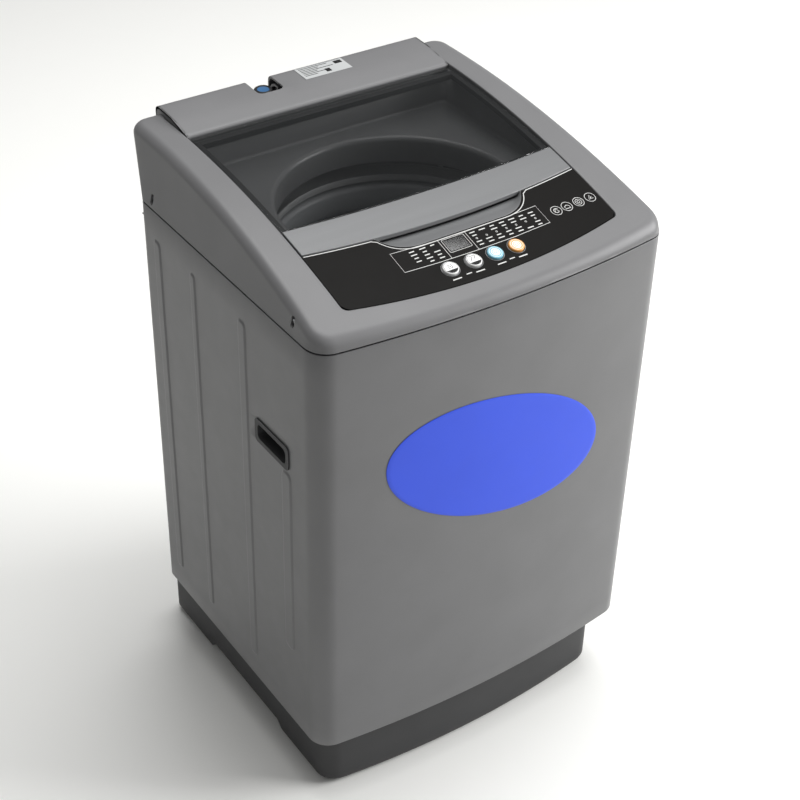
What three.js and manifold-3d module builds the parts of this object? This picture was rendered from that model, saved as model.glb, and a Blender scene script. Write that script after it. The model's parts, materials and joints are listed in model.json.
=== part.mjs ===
// A top-loading washing machine in millimetres: +Z up, front towards -Y, origin at the bottom centre.
// The machine stands on four feet. A suspended tub holds the basket, the pulsator and the belt drive.
import * as THREE from 'three';
import { mergeVertices } from 'three/addons/utils/BufferGeometryUtils.js';
import Module from 'manifold-3d';

const wasm = await Module();
wasm.setup();

// ---------- Driving dimensions ----------
const GAP = 0.4;                  // clearance kept between pieces that touch or rest on each other
const FIT = 0.8;                  // clearance of a panel set into another
const WIDTH = 540;                // across the cabinet's sides
const BODY_DEPTH = 465;           // cabinet rear to the middle of the bowed front
const REAR_OVERHANG = 55;         // the top cover's reach behind the cabinet
const FRONT_BOW = 20;             // bulge of the front over the cabinet's width
const FOOT_DROP = 8;              // feet below the base
const BASE_HEIGHT = 109;
const CABINET_HEIGHT = 665;
const COVER_HEIGHT = 88;          // seam to the crown of the rails
const SHEET = 1.2;                // cabinet steel
const FRONT_CORNER = 32;
const REAR_CORNER = 16;

const REAR_Y = (BODY_DEPTH - REAR_OVERHANG) / 2;
const FRONT_Y = REAR_Y - BODY_DEPTH;
const COVER_REAR_Y = REAR_Y + REAR_OVERHANG;
const HALF = WIDTH / 2;
const CABINET_Z = FOOT_DROP + BASE_HEIGHT;
const SEAM_Z = CABINET_Z + CABINET_HEIGHT;
const CROWN_Z = SEAM_Z + COVER_HEIGHT;

// Base moulding
const BASE_INSET = 24;
const BASE_REAR_REACH = 40;       // the base's reach behind the cabinet
const BASE_WALL = 3.5;
const SIDE_ARCH_HEIGHT = 11;
const FOOT_RADIUS = 17;
const FOOT_EDGE = 44;             // foot centre from the base's outer faces
const SIDE_ARCH = { rear: 85, front: 298 }; // the base's side arch, forward of the cabinet's rear
const FOOT_BORE = 6;              // the stem's hole in the base
const FOOT_RECESS = 4;            // how far the pad reaches into the base

// Side pressings of the cabinet, measured forward from its rear edge
const PRESS_DEPTH = 1.6;
const PRESS_MARGIN = 42;          // plain sheet above and below the long pressings
const GRIP_WIDTH = 76;
const GRIP_HEIGHT = 31;
const GRIP_DEPTH = 24;
const GRIP_FROM_REAR = 339;
const GRIP_BELOW_SEAM = 177;

// Top cover
const SEAM_GAP = 1;
const COVER_WALL = 3;
const COVER_LEAN = 16;            // how far the side walls lean in
const SHOULDER = 14;              // rounding between the side walls and the rails
const CROWN_RADIUS = 1400;        // side view arc of the rails
const RAIL = 60;                  // rail width, from the cabinet's side
const MOUTH_REAR = 34;            // lid opening's rear edge, forward of the cabinet's rear
const LID_LENGTH = 280;
const LID_THICK = 4;
const LID_STRIP = 46;             // grey strip along the lid's front edge, at its sides
const LID_BOW = 15;               // bulge of the lid's front edge
const WINDOW_BOW = 8;             // bulge of the window's front edge
const CONSOLE_BOW = 22;           // bulge of the console's front edge
const WELL_FLOOR_DROP = 62;       // well floor below the crown
const CONSOLE_MARGIN = 16;        // cover rim in front of the console panel
const PANEL_THICK = 3;
const DECK_RISE = 9;              // rear deck above the rails at its rear edge

// Tub, basket and drive
const TUB_Y = REAR_Y - 226;
const TUB_RADIUS = 208;
const TUB_WALL = 3;
const TUB_FLOOR_Z = 268;
const TUB_HEIGHT = 470;
const BASKET_GAP = 14;
const BASKET_WALL = 1.5;
const DRIVEN_PULLEY_RADIUS = 80;
const MOTOR_PULLEY_RADIUS = 22;
const SHAFT_SPACING = 138;
const BELT_Z = 156;

// ---------- Colours ----------
const COLOURS = {
  body: ['#7c7c7b', 0.34, 0.25],
  steel: ['#777776', 0.3, 0.5],
  base: ['#46494a', 0.6, 0],
  console: ['#262622', 0.2, 0],
  smoke: ['#3f4040', 0.12, 0],
  black: ['#1d1e1f', 0.55, 0],
  white: ['#ececea', 0.4, 0],
  blue: ['#c0dde2', 0.35, 0],
  orange: ['#efd09a', 0.35, 0],
  decal: ['#4f68e0', 0.45, 0],
  cap: ['#3a6f96', 0.4, 0],
  label: ['#c6c8c7', 0.45, 0],
  stainless: ['#b9babb', 0.25, 0.9],
  plastic: ['#c9ccd0', 0.5, 0],
  rubber: ['#222222', 0.85, 0],
  zinc: ['#9ea3a6', 0.35, 0.9],
  iron: ['#5c5f62', 0.55, 0.7],
  board: ['#2c5a3c', 0.6, 0],
};

const machine = new THREE.Group();

// ---------- Helpers ----------
function solid(geometry) {
  const bare = geometry.clone();
  bare.deleteAttribute('normal');
  if (bare.getAttribute('uv')) bare.deleteAttribute('uv');
  const merged = mergeVertices(bare, 1e-4);
  const vertProperties = new Float32Array(merged.getAttribute('position').array);
  const triVerts = new Uint32Array(merged.getIndex().array);
  return new wasm.Manifold(new wasm.Mesh({ numProp: 3, vertProperties, triVerts }));
}

function geometryOf(manifold) {
  const mesh = manifold.getMesh();
  const geometry = new THREE.BufferGeometry();
  geometry.setAttribute('position', new THREE.BufferAttribute(new Float32Array(mesh.vertProperties), 3));
  geometry.setIndex(new THREE.BufferAttribute(new Uint32Array(mesh.triVerts), 1));
  return geometry;
}

function part(name, shape, colour) {
  const geometry = shape.isBufferGeometry ? shape : geometryOf(shape);
  const [color, roughness, metalness] = COLOURS[colour];
  const material = new THREE.MeshStandardMaterial({ color, roughness, metalness });
  const mesh = new THREE.Mesh(geometry, material);
  mesh.name = name;
  machine.add(mesh);
  return mesh;
}

// A box between two corners.
function block(low, high) {
  const size = low.map((value, axis) => high[axis] - value);
  const geometry = new THREE.BoxGeometry(...size);
  geometry.translate(...low.map((value, axis) => value + size[axis] / 2));
  return solid(geometry);
}

// An upright round bar, or one laid along X or Y.
function rod(radius, centre, length, axis = 'z', sides = 16, topRadius = radius) {
  const geometry = new THREE.CylinderGeometry(topRadius, radius, length, sides);
  if (axis === 'z') geometry.rotateX(Math.PI / 2);
  if (axis === 'x') geometry.rotateZ(-Math.PI / 2);
  geometry.translate(...centre);
  return solid(geometry);
}

// A body of revolution about an upright axis; the profile holds [radius, z] from bottom to top outside.
function turned(profile, sides = 40, x = 0, y = TUB_Y) {
  const points = profile.map(([radius, z]) => new THREE.Vector2(radius, z));
  const geometry = new THREE.LatheGeometry(points, sides);
  geometry.rotateX(Math.PI / 2);
  geometry.translate(x, y, 0);
  return solid(geometry);
}

// A closed ring of revolution from its section.
function turnedRing(section, sides, x, y) {
  return turned([...section, section[0]], sides, x, y);
}

// An upright prism over a plan shape.
function prism(shape, low, high, options = {}) {
  const settings = { depth: high - low, bevelEnabled: false, curveSegments: 4, ...options };
  const geometry = new THREE.ExtrudeGeometry(shape, settings);
  geometry.translate(0, 0, low);
  return solid(geometry);
}

// A prism along X over a side-view section of [y, z] points, running anticlockwise.
function sideExtrusion(section, x0, x1) {
  const shape = new THREE.Shape(section.map(([y, z]) => new THREE.Vector2(y, z)));
  const geometry = new THREE.ExtrudeGeometry(shape, { depth: x1 - x0, bevelEnabled: false });
  const toSideView = new THREE.Matrix4().makeBasis(
    new THREE.Vector3(0, 1, 0),
    new THREE.Vector3(0, 0, 1),
    new THREE.Vector3(1, 0, 0),
  );
  geometry.applyMatrix4(toSideView);
  geometry.translate(x0, 0, 0);
  return solid(geometry);
}

function roundedShape(x0, x1, y0, y1, radius) {
  const shape = new THREE.Shape();
  shape.moveTo(x0 + radius, y0);
  shape.lineTo(x1 - radius, y0);
  shape.absarc(x1 - radius, y0 + radius, radius, -Math.PI / 2, 0);
  shape.lineTo(x1, y1 - radius);
  shape.absarc(x1 - radius, y1 - radius, radius, 0, Math.PI / 2);
  shape.lineTo(x0 + radius, y1);
  shape.absarc(x0 + radius, y1 - radius, radius, Math.PI / 2, Math.PI);
  shape.lineTo(x0, y0 + radius);
  shape.absarc(x0 + radius, y0 + radius, radius, Math.PI, Math.PI * 1.5);
  return shape;
}

// Plan outline with a bowed front and four round corners, symmetric about x = 0, anticlockwise from
// the middle of the front. Every outline has the same number of points, so outlines can be lofted.
const FRONT_STEPS = 5;
const CORNER_STEPS = 4;
const SIDE_STEPS = 5;

function outline(plan, inset = 0) {
  const { halfWidth, frontY, rearY, bow, frontCorner, rearCorner } = plan;
  const bowRadius = (halfWidth ** 2 + bow ** 2) / (2 * bow);
  const bowY = frontY + bowRadius;
  const cornerX = halfWidth - frontCorner;
  const cornerY = bowY - Math.sqrt((bowRadius - frontCorner) ** 2 - cornerX ** 2);
  const turn = Math.atan2(cornerY - bowY, cornerX);
  const half = [];
  for (let i = 0; i < FRONT_STEPS; i += 1) {
    const angle = -Math.PI / 2 + (turn + Math.PI / 2) * (i / FRONT_STEPS);
    const radius = bowRadius - inset;
    half.push([radius * Math.cos(angle), bowY + radius * Math.sin(angle)]);
  }
  for (let i = 0; i <= CORNER_STEPS; i += 1) {
    const angle = turn * (1 - i / CORNER_STEPS);
    const radius = frontCorner - inset;
    half.push([cornerX + radius * Math.cos(angle), cornerY + radius * Math.sin(angle)]);
  }
  const rearCornerY = rearY - rearCorner;
  for (let i = 1; i < SIDE_STEPS; i += 1) {
    half.push([halfWidth - inset, cornerY + (rearCornerY - cornerY) * (i / SIDE_STEPS)]);
  }
  for (let i = 0; i <= CORNER_STEPS; i += 1) {
    const angle = (Math.PI / 2) * (i / CORNER_STEPS);
    const radius = rearCorner - inset;
    const x = halfWidth - rearCorner + radius * Math.cos(angle);
    half.push([x, rearCornerY + radius * Math.sin(angle)]);
  }
  const mirrored = half.slice(1).reverse().map(([x, y]) => [-x, y]);
  return [...half, [0, rearY - inset], ...mirrored];
}

// A solid through rings of equal count, each symmetric about x = 0; both ends are capped by strips
// that join each point to its mirror image.
function loft(rings) {
  const count = rings[0].length;
  const positions = rings.flat(2);
  const index = [];
  for (let level = 0; level < rings.length - 1; level += 1) {
    for (let i = 0; i < count; i += 1) {
      const a = level * count + i;
      const b = level * count + ((i + 1) % count);
      index.push(a, b, b + count, a, b + count, a + count);
    }
  }
  const top = (rings.length - 1) * count;
  for (let i = 0; i < count / 2; i += 1) {
    const quad = [i, i + 1, count - i - 1, (count - i) % count];
    const [a, b, c, d] = quad;
    if (a !== d) index.push(top + a, top + b, top + c, top + a, top + c, top + d, c, b, a, d, c, a);
    else index.push(top + a, top + b, top + c, c, b, a);
  }
  const unique = [];
  for (let i = 0; i < index.length; i += 3) {
    const [a, b, c] = index.slice(i, i + 3);
    if (a !== b && b !== c && a !== c) unique.push(a, b, c);
  }
  const geometry = new THREE.BufferGeometry();
  geometry.setAttribute('position', new THREE.Float32BufferAttribute(positions, 3));
  geometry.setIndex(unique);
  return solid(geometry);
}

function planPrism(plan, inset, low, high) {
  const edge = outline(plan, inset);
  return loft([low, high].map((z) => edge.map(([x, y]) => [x, y, z])));
}

// ---------- Plans ----------
const CABINET_PLAN = {
  halfWidth: HALF,
  frontY: FRONT_Y,
  rearY: REAR_Y,
  bow: FRONT_BOW,
  frontCorner: FRONT_CORNER,
  rearCorner: REAR_CORNER,
};
const BASE_PLAN = {
  ...CABINET_PLAN,
  halfWidth: HALF - BASE_INSET,
  frontY: FRONT_Y + BASE_INSET,
  rearY: REAR_Y + BASE_REAR_REACH,
  rearCorner: BASE_INSET,
};
const COVER_TOP_PLAN = {
  ...CABINET_PLAN,
  halfWidth: HALF - COVER_LEAN,
  frontY: FRONT_Y + COVER_LEAN,
  rearY: COVER_REAR_Y - GAP - COVER_WALL,
  rearCorner: REAR_CORNER + 8,
};

// Height of the rails along the machine: level at the rear, an arc falling towards the front.
function crown(y) {
  return CROWN_Z - Math.max(0, REAR_Y - y) ** 2 / (2 * CROWN_RADIUS);
}

const MOUTH_X = HALF - RAIL;
const MOUTH_REAR_Y = REAR_Y - MOUTH_REAR;
const LID_FRONT_Y = MOUTH_REAR_Y - LID_LENGTH;
const CONSOLE_FRONT_Y = FRONT_Y + COVER_LEAN + CONSOLE_MARGIN;

// An arc across the mouth, bowed forward by the given amount, from left to right.
function bowLine(y, bow, halfWidth = MOUTH_X, steps = 8) {
  const points = [];
  for (let i = 0; i <= steps; i += 1) {
    const t = (2 * i) / steps - 1;
    points.push([t * halfWidth, y - bow * (1 - t * t)]);
  }
  return points;
}

// Plan shape between two bowed lines, inset at its sides.
function bowedShape(frontY, frontBow, rearY, rearBow, inset = 0) {
  const width = MOUTH_X - inset;
  const front = bowLine(frontY, frontBow, width);
  const rear = bowLine(rearY, rearBow, width).reverse();
  return new THREE.Shape([...front, ...rear].map(([x, y]) => new THREE.Vector2(x, y)));
}

// A slab that follows the crown between two places, its top lowered by a drop.
function crownSlab(y0, y1, drop, thickness, halfWidth, steps = 6) {
  const ys = Array.from({ length: steps + 1 }, (unused, i) => y0 + ((y1 - y0) * i) / steps);
  const bottom = ys.map((y) => [y, crown(y) - drop - thickness]);
  const top = ys.map((y) => [y, crown(y) - drop]).reverse();
  return sideExtrusion([...bottom, ...top], -halfWidth, halfWidth);
}

// ---------- Cabinet ----------
// A long vertical pressing with sloping flanks; `grow` widens it for the inside of the sheet.
function pressing(side, forward, width, low, high, depth, grow = 0) {
  const half = width / 2 + grow;
  const shape = new THREE.Shape();
  shape.moveTo(half, low + half);
  shape.absarc(0, high - half, half, 0, Math.PI);
  shape.absarc(0, low + half, half, Math.PI, Math.PI * 2);
  const slope = Math.abs(depth);
  const geometry = new THREE.ExtrudeGeometry(shape, {
    depth: 0.5,
    curveSegments: 3,
    bevelEnabled: true,
    bevelSegments: 1,
    bevelThickness: slope,
    bevelSize: slope,
    bevelOffset: -slope,
  });
  geometry.rotateX(Math.PI / 2);
  geometry.rotateZ(Math.PI / 2);
  geometry.translate(side * HALF - 0.25, REAR_Y - forward, 0);
  return solid(geometry);
}

const PRESS_LOW = CABINET_Z + PRESS_MARGIN;
const PRESS_HIGH = SEAM_Z - PRESS_MARGIN;
const SHORT_PRESS_HIGH = SEAM_Z - GRIP_BELOW_SEAM - GRIP_HEIGHT - 6;
// distance forward from the rear edge, width, bottom, top and sign: raised (+) or sunk (-)
const PRESSINGS = [
  [47, 19, PRESS_LOW, PRESS_HIGH, 1],
  [144, 15, PRESS_LOW, PRESS_HIGH, 1],
  [270, 20, PRESS_LOW, PRESS_HIGH, -1],
  [372, 24, PRESS_LOW + 96, SHORT_PRESS_HIGH, -1],
];

const GRIP_LOW_Z = SEAM_Z - GRIP_BELOW_SEAM - GRIP_HEIGHT;
const GRIP_REAR_Y = REAR_Y - GRIP_FROM_REAR + GRIP_WIDTH / 2;

function gripShape(margin) {
  const y0 = GRIP_REAR_Y - GRIP_WIDTH - margin;
  const z0 = GRIP_LOW_Z - margin;
  return roundedShape(y0, y0 + GRIP_WIDTH + 2 * margin, z0, z0 + GRIP_HEIGHT + 2 * margin, 7);
}

// A rounded bar through the side wall at the finger grip, between two places along x.
function gripBar(xa, xb, margin) {
  const geometry = new THREE.ExtrudeGeometry(gripShape(margin), {
    depth: Math.abs(xb - xa),
    bevelEnabled: false,
    curveSegments: 4,
  });
  geometry.rotateX(Math.PI / 2);
  geometry.rotateZ(Math.PI / 2);
  geometry.translate(Math.min(xa, xb), 0, 0);
  return solid(geometry);
}

const BEAD_SPACING = 110;
const REAR_OPENING = { x: HALF - 50, low: CABINET_Z + 24, high: SEAM_Z - 60 };

function cabinetShell() {
  let outer = planPrism(CABINET_PLAN, 0, CABINET_Z, SEAM_Z);
  let inner = planPrism(CABINET_PLAN, SHEET, CABINET_Z + SHEET, SEAM_Z + SHEET);
  for (const side of [-1, 1]) {
    for (const [forward, width, low, high, sign] of PRESSINGS) {
      const face = pressing(side, forward, width, low, high, PRESS_DEPTH);
      const back = pressing(side, forward, width, low, high, PRESS_DEPTH, sign < 0 ? SHEET : -SHEET);
      const shift = [-side * SHEET, 0, 0];
      outer = sign > 0 ? outer.add(face) : outer.subtract(face);
      inner = sign > 0 ? inner.add(back.translate(shift)) : inner.subtract(back.translate(shift));
    }
  }
  const floorPlan = roundedShape(-HALF + 36, HALF - 36, FRONT_Y + 56, REAR_Y - 20, 20);
  const floorHole = prism(floorPlan, 0, SEAM_Z - 20);
  const { x, low, high } = REAR_OPENING;
  const rearHole = block([-x, REAR_Y - 10, low], [x, REAR_Y + 10, high]);
  let shell = outer.subtract(inner).subtract(floorHole).subtract(rearHole);
  for (const side of [-1, 1]) {
    const centre = side * HALF;
    shell = shell.subtract(gripBar(centre - 12, centre + 12, -GAP - 1));
  }
  return shell;
}

// The moulded finger cup clipped into the side wall: a flange and a cup.
function gripCup(side) {
  const face = side * HALF;
  const root = face + side * GAP;
  const bodyMargin = -2 * GAP - 1;
  const wall = 2;
  const flange = gripBar(root, root + side * 1.6, 3);
  const body = gripBar(root, face - side * GRIP_DEPTH, bodyMargin);
  const hollow = gripBar(face - side * (GRIP_DEPTH - wall), face + side * 4, bodyMargin - wall);
  return flange.add(body).subtract(hollow);
}

function rearPanel() {
  const { x, low, high } = REAR_OPENING;
  const y = REAR_Y + GAP;
  const lap = 12;
  const beadWidth = 28;
  const beadRise = 4;
  const ends = 60;
  const taper = 2;
  let panel = block([-x - lap, y, low - lap], [x + lap, y + SHEET, high + lap]);
  for (const centre of [-BEAD_SPACING, 0, BEAD_SPACING]) {
    const half = beadWidth / 2;
    const bead = block(
      [centre - half, y + SHEET - 0.1, low + ends],
      [centre + half, y + beadRise, high - ends],
    );
    const back = block(
      [centre - half + taper, y - 1, low + ends + taper],
      [centre + half - taper, y + beadRise - SHEET, high - ends - taper],
    );
    panel = panel.add(bead).subtract(back);
  }
  return panel;
}

function rearScrewPlace(side) {
  const { x, low, high } = REAR_OPENING;
  return [side * (x + 6), (low + high) / 2];
}

// A pan head outside, with its shank through the panel and the flange.
function panScrew(radius, head, shank, length, centre) {
  const [x, y, z] = centre;
  const cap = rod(radius, [x, y + head / 2, z], head, 'y', 16);
  const stem = rod(shank, [x, y - length / 2 + 0.1, z], length, 'y', 10);
  return cap.add(stem);
}

// ---------- Base ----------
const FOOT_X = HALF - BASE_INSET - FOOT_EDGE;
const FOOT_FRONT_Y = FRONT_Y + BASE_INSET + FOOT_EDGE;
const FOOT_REAR_Y = REAR_Y + BASE_REAR_REACH - FOOT_EDGE;
const FOOT_PLACES = [
  { name: 'foot_front_left', x: -FOOT_X, y: FOOT_FRONT_Y },
  { name: 'foot_rear_left', x: -FOOT_X, y: FOOT_REAR_Y },
  { name: 'foot_front_right', x: FOOT_X, y: FOOT_FRONT_Y },
  { name: 'foot_rear_right', x: FOOT_X, y: FOOT_REAR_Y },
];

function baseFrame() {
  const top = CABINET_Z - GAP;
  let base = planPrism(BASE_PLAN, 0, FOOT_DROP, top);
  base = base.subtract(planPrism(BASE_PLAN, BASE_WALL, FOOT_DROP - 1, top - BASE_WALL));
  base = base.subtract(rod(178, [0, TUB_Y, top], 20, 'z', 40));
  const arch = [
    [REAR_Y - SIDE_ARCH.front, FOOT_DROP - 1],
    [REAR_Y - SIDE_ARCH.rear, FOOT_DROP - 1],
    [REAR_Y - SIDE_ARCH.rear - SIDE_ARCH_HEIGHT, FOOT_DROP + SIDE_ARCH_HEIGHT],
    [REAR_Y - SIDE_ARCH.front + SIDE_ARCH_HEIGHT, FOOT_DROP + SIDE_ARCH_HEIGHT],
  ];
  base = base.subtract(sideExtrusion(arch, -HALF, HALF));
  for (const { x, y } of FOOT_PLACES) {
    const postLow = FOOT_DROP + FOOT_RECESS;
    const postHigh = top - 1;
    const post = rod(FOOT_RADIUS + 6, [x, y, (postLow + postHigh) / 2], postHigh - postLow);
    base = base.add(post).subtract(rod(FOOT_BORE, [x, y, FOOT_DROP + 16], 32, 'z', 16));
  }
  return base;
}

// A rubber-soled foot: a wide pad under the base and a threaded stem up into its boss.
function foot(x, y) {
  const stemTop = FOOT_DROP + 26;
  const profile = [
    [0, 0],
    [FOOT_RADIUS - 2, 0],
    [FOOT_RADIUS, 2],
    [FOOT_RADIUS, FOOT_DROP + FOOT_RECESS - 1],
    [FOOT_BORE - GAP, FOOT_DROP + FOOT_RECESS - 1],
    [FOOT_BORE - GAP, stemTop],
    [0, stemTop],
  ];
  return turned(profile, 16, x, y);
}

// ---------- Top cover ----------
// The cover's outside: walls that lean in as they rise, a round shoulder and the crowned top.
// `inset` makes the inside. Where the crown is low, towards the front, the lean fades out.
function coverBody(inset, bottomZ) {
  const shoulder = SHOULDER - inset;
  const straight = (y) => Math.max(0, crown(y) - SHOULDER - SEAM_Z) / (COVER_HEIGHT - SHOULDER);
  const rings = [outline(CABINET_PLAN, inset).map(([x, y]) => [x, y, bottomZ])];
  const arcSteps = 3;
  for (let i = 0; i <= arcSteps; i += 1) {
    const angle = (Math.PI / 2) * (i / arcSteps);
    const edge = inset + shoulder * (1 - Math.cos(angle));
    const sink = SHOULDER - shoulder * Math.sin(angle);
    const upper = outline(COVER_TOP_PLAN, edge);
    rings.push(outline(CABINET_PLAN, edge).map(([x, y], index) => {
      const share = straight(y);
      const place = [x + (upper[index][0] - x) * share, y + (upper[index][1] - y) * share];
      return [...place, Math.max(crown(place[1]) - sink, bottomZ + 0.2 + i * 0.1)];
    }));
  }
  return loft(rings);
}

const WELL_FLOOR_Z = CROWN_Z - WELL_FLOOR_DROP;
const WELL_FRONT_Y = LID_FRONT_Y + 6;
const WELL_REAR_Y = MOUTH_REAR_Y + 8;
const DRUM_MOUTH_RADIUS = TUB_RADIUS - 40;
const LIP_DROP = 34;
const DECK_LAP = 7;               // ledge that carries the deck and the console panel
const MOUTH_END_Y = COVER_REAR_Y - COVER_WALL - 22;
const PIN_RADIUS = 2.5;
const BARREL_RADIUS = 5.5;
const HINGE_Y = MOUTH_REAR_Y - 13.5;
const HINGE_DROP = 10.5;             // lid hinge axis below the crown
const HINGE_Z = crown(HINGE_Y) - HINGE_DROP;

// Plan of the hole from the well down into the basket: a circle cut flat at its front and rear.
function drumMouth(radius) {
  const shape = new THREE.Shape();
  const frontLimit = WELL_FRONT_Y + 12 + (DRUM_MOUTH_RADIUS - radius);
  const rearLimit = WELL_REAR_Y - 12 - (DRUM_MOUTH_RADIUS - radius);
  const points = [];
  const steps = 24;
  for (let i = 0; i < steps; i += 1) {
    const angle = (Math.PI * 2 * (i + 0.5)) / steps;
    const y = TUB_Y + radius * Math.sin(angle);
    const limited = Math.min(rearLimit, Math.max(frontLimit, y));
    points.push(new THREE.Vector2(radius * Math.cos(angle), limited));
  }
  shape.setFromPoints(points);
  return shape;
}

// The moulded well under the lid: side, front and rear walls, a floor and the lip into the tub.
function coverWell() {
  const half = MOUTH_X + COVER_WALL;
  const underside = WELL_FLOOR_Z - COVER_WALL;
  const box = block(
    [-half, WELL_FRONT_Y - COVER_WALL, underside],
    [half, WELL_REAR_Y + COVER_WALL, CROWN_Z],
  );
  const crownLimit = sideExtrusion([
    [WELL_FRONT_Y - 40, underside - 1],
    [WELL_REAR_Y + 40, underside - 1],
    ...Array.from({ length: 11 }, (unused, i) => {
      const y = WELL_REAR_Y + 40 - (i / 10) * (WELL_REAR_Y - WELL_FRONT_Y + 80);
      return [y, crown(y) - COVER_WALL / 2];
    }),
  ], -half, half);
  const hollow = block([-MOUTH_X, WELL_FRONT_Y, WELL_FLOOR_Z], [MOUTH_X, WELL_REAR_Y, CROWN_Z + 1]);
  const lip = prism(drumMouth(DRUM_MOUTH_RADIUS + COVER_WALL), WELL_FLOOR_Z - LIP_DROP, WELL_FLOOR_Z);
  const drop = prism(drumMouth(DRUM_MOUTH_RADIUS), WELL_FLOOR_Z - LIP_DROP - 1, CROWN_Z);
  return box.intersect(crownLimit).subtract(hollow).add(lip).subtract(drop);
}

const SCREW_POCKETS = [-1, 1].flatMap((side) => [
  { side, y: REAR_Y - 36, z: SEAM_Z + 13 },
  { side, y: REAR_Y - 388, z: SEAM_Z + 19 },
]);
const POCKET_X = HALF - 8;
// The hose notch in the rear edge, over the water inlet.
const NOTCH_X = -55;
const NOTCH_Y = REAR_Y + 13;
const NOTCH_HALF = 21;

function topCover() {
  const bottom = SEAM_Z + SEAM_GAP;
  let cover = coverBody(0, bottom).subtract(coverBody(COVER_WALL, bottom - 1));
  const frontEdge = CONSOLE_FRONT_Y + CONSOLE_BOW;
  const mouth = crownSlab(CONSOLE_FRONT_Y - 5, COVER_REAR_Y, -5, COVER_WALL + 6, MOUTH_X)
    .intersect(prism(bowedShape(frontEdge, CONSOLE_BOW, MOUTH_END_Y, 0), SEAM_Z, CROWN_Z + 5));
  const webPlan = prism(bowedShape(frontEdge - 3, CONSOLE_BOW, MOUTH_END_Y + 3, 0, -3), 0, CROWN_Z);
  const webs = crownSlab(CONSOLE_FRONT_Y - 10, COVER_REAR_Y, 1, PANEL_THICK + COVER_WALL, MOUTH_X + 4)
    .intersect(webPlan);
  const inside = prism(
    bowedShape(frontEdge + DECK_LAP, CONSOLE_BOW, MOUTH_END_Y - DECK_LAP, 0, DECK_LAP),
    SEAM_Z - 5,
    CROWN_Z + 5,
  );
  const above = crownSlab(CONSOLE_FRONT_Y - 20, COVER_REAR_Y, -5, PANEL_THICK + 6, MOUTH_X)
    .intersect(prism(bowedShape(frontEdge, CONSOLE_BOW, MOUTH_END_Y, 0), 0, CROWN_Z + 10));
  const overLid = prism(bowedShape(LID_FRONT_Y - FIT, LID_BOW, MOUTH_REAR_Y, 0), SEAM_Z, CROWN_Z + 5);
  const lidDepth = LID_THICK + LID_FRAME_DEPTH + 7;
  const lidRoom = crownSlab(LID_FRONT_Y - 30, MOUTH_REAR_Y + 5, -5, lidDepth, MOUTH_X + 1).intersect(overLid);
  const ledges = webs.subtract(inside).subtract(above);
  cover = cover.subtract(mouth).add(coverWell().subtract(above)).add(ledges).subtract(lidRoom);
  const notchPlan = roundedShape(NOTCH_X - NOTCH_HALF, NOTCH_X + NOTCH_HALF, NOTCH_Y, COVER_REAR_Y + 30, 8);
  cover = cover.subtract(prism(notchPlan, SEAM_Z + 40, CROWN_Z + 30));
  for (const side of [-1, 1]) {
    const pinHole = rod(PIN_RADIUS + 0.5, [side * (MOUTH_X + 2), HINGE_Y, HINGE_Z], 12, 'x', 16);
    cover = cover.subtract(pinHole);
  }
  const skirt = planPrism(CABINET_PLAN, SHEET + GAP, SEAM_Z - 12, bottom + 2)
    .subtract(planPrism(CABINET_PLAN, SHEET + GAP + 2, SEAM_Z - 13, bottom + 3));
  const rearGap = block([-HALF, REAR_Y - 8, SEAM_Z - 20], [HALF, REAR_Y + 8, bottom - GAP]);
  cover = cover.add(skirt.subtract(rearGap));
  for (const { side, y, z } of SCREW_POCKETS) {
    const slot = prism(roundedShape(-4, 4, -12, 12, 3.9), 0, 30, { curveSegments: 4 });
    const turnedSlot = slot.rotate([90, 0, 90]).translate([side * (POCKET_X + 15) - 15, y, z]);
    const backing = block([0, y - 8, z - 15], [1, y + 8, z + 15]);
    const wall = backing.scale([COVER_WALL + 6, 1, 1]).translate([side * (POCKET_X - 4) - 4.5, 0, 0]);
    cover = cover.add(wall.intersect(coverBody(0.5, bottom))).subtract(turnedSlot);
    cover = cover.subtract(rod(2.4, [side * (POCKET_X - 6), y, z], 14, 'x', 12));
  }
  return cover;
}

// ---------- Rear deck ----------
const DECK_FRONT_Y = MOUTH_REAR_Y + FIT;
const DECK_X = MOUTH_X - FIT;

function deckSection(thickness) {
  const rear = COVER_REAR_Y - thickness;
  const lift = DECK_RISE - thickness;
  const front = DECK_FRONT_Y + thickness;
  return [
    [front, CROWN_Z - 30],
    [rear, CROWN_Z - 30],
    [rear, CROWN_Z + lift - 6],
    [rear - 2, CROWN_Z + lift - 2],
    [rear - 7, CROWN_Z + lift],
    [REAR_Y + 10, CROWN_Z + lift * 0.85],
    [front + 6, crown(front) - thickness + 1],
    [front, crown(front) - thickness - 1.5],
  ];
}

function rearDeck() {
  const wall = 2.5;
  const outside = sideExtrusion(deckSection(0), -DECK_X, DECK_X);
  const inside = sideExtrusion(deckSection(wall), -DECK_X + wall, DECK_X - wall);
  const ledgeTop = CROWN_Z - PANEL_THICK - 1 + GAP;
  const rearInside = COVER_REAR_Y - wall - GAP;
  const lower = block([-HALF, DECK_FRONT_Y - 1, CROWN_Z - 40], [HALF, rearInside, ledgeTop])
    .add(block([-HALF, MOUTH_END_Y - GAP, CROWN_Z - 20], [HALF, rearInside, CROWN_Z + GAP]));
  const rearSkirt = block(
    [-HALF, COVER_REAR_Y - 30, CROWN_Z - 40],
    [HALF, COVER_REAR_Y + 1, CROWN_Z - 14],
  );
  const notchHalf = NOTCH_HALF - 1;
  const notch = roundedShape(NOTCH_X - notchHalf, NOTCH_X + notchHalf, NOTCH_Y + 1, COVER_REAR_Y + 30, 8);
  const cut = prism(notch, CROWN_Z - 50, CROWN_Z + 30);
  return outside.subtract(inside).subtract(lower).subtract(rearSkirt).subtract(cut);
}

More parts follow.
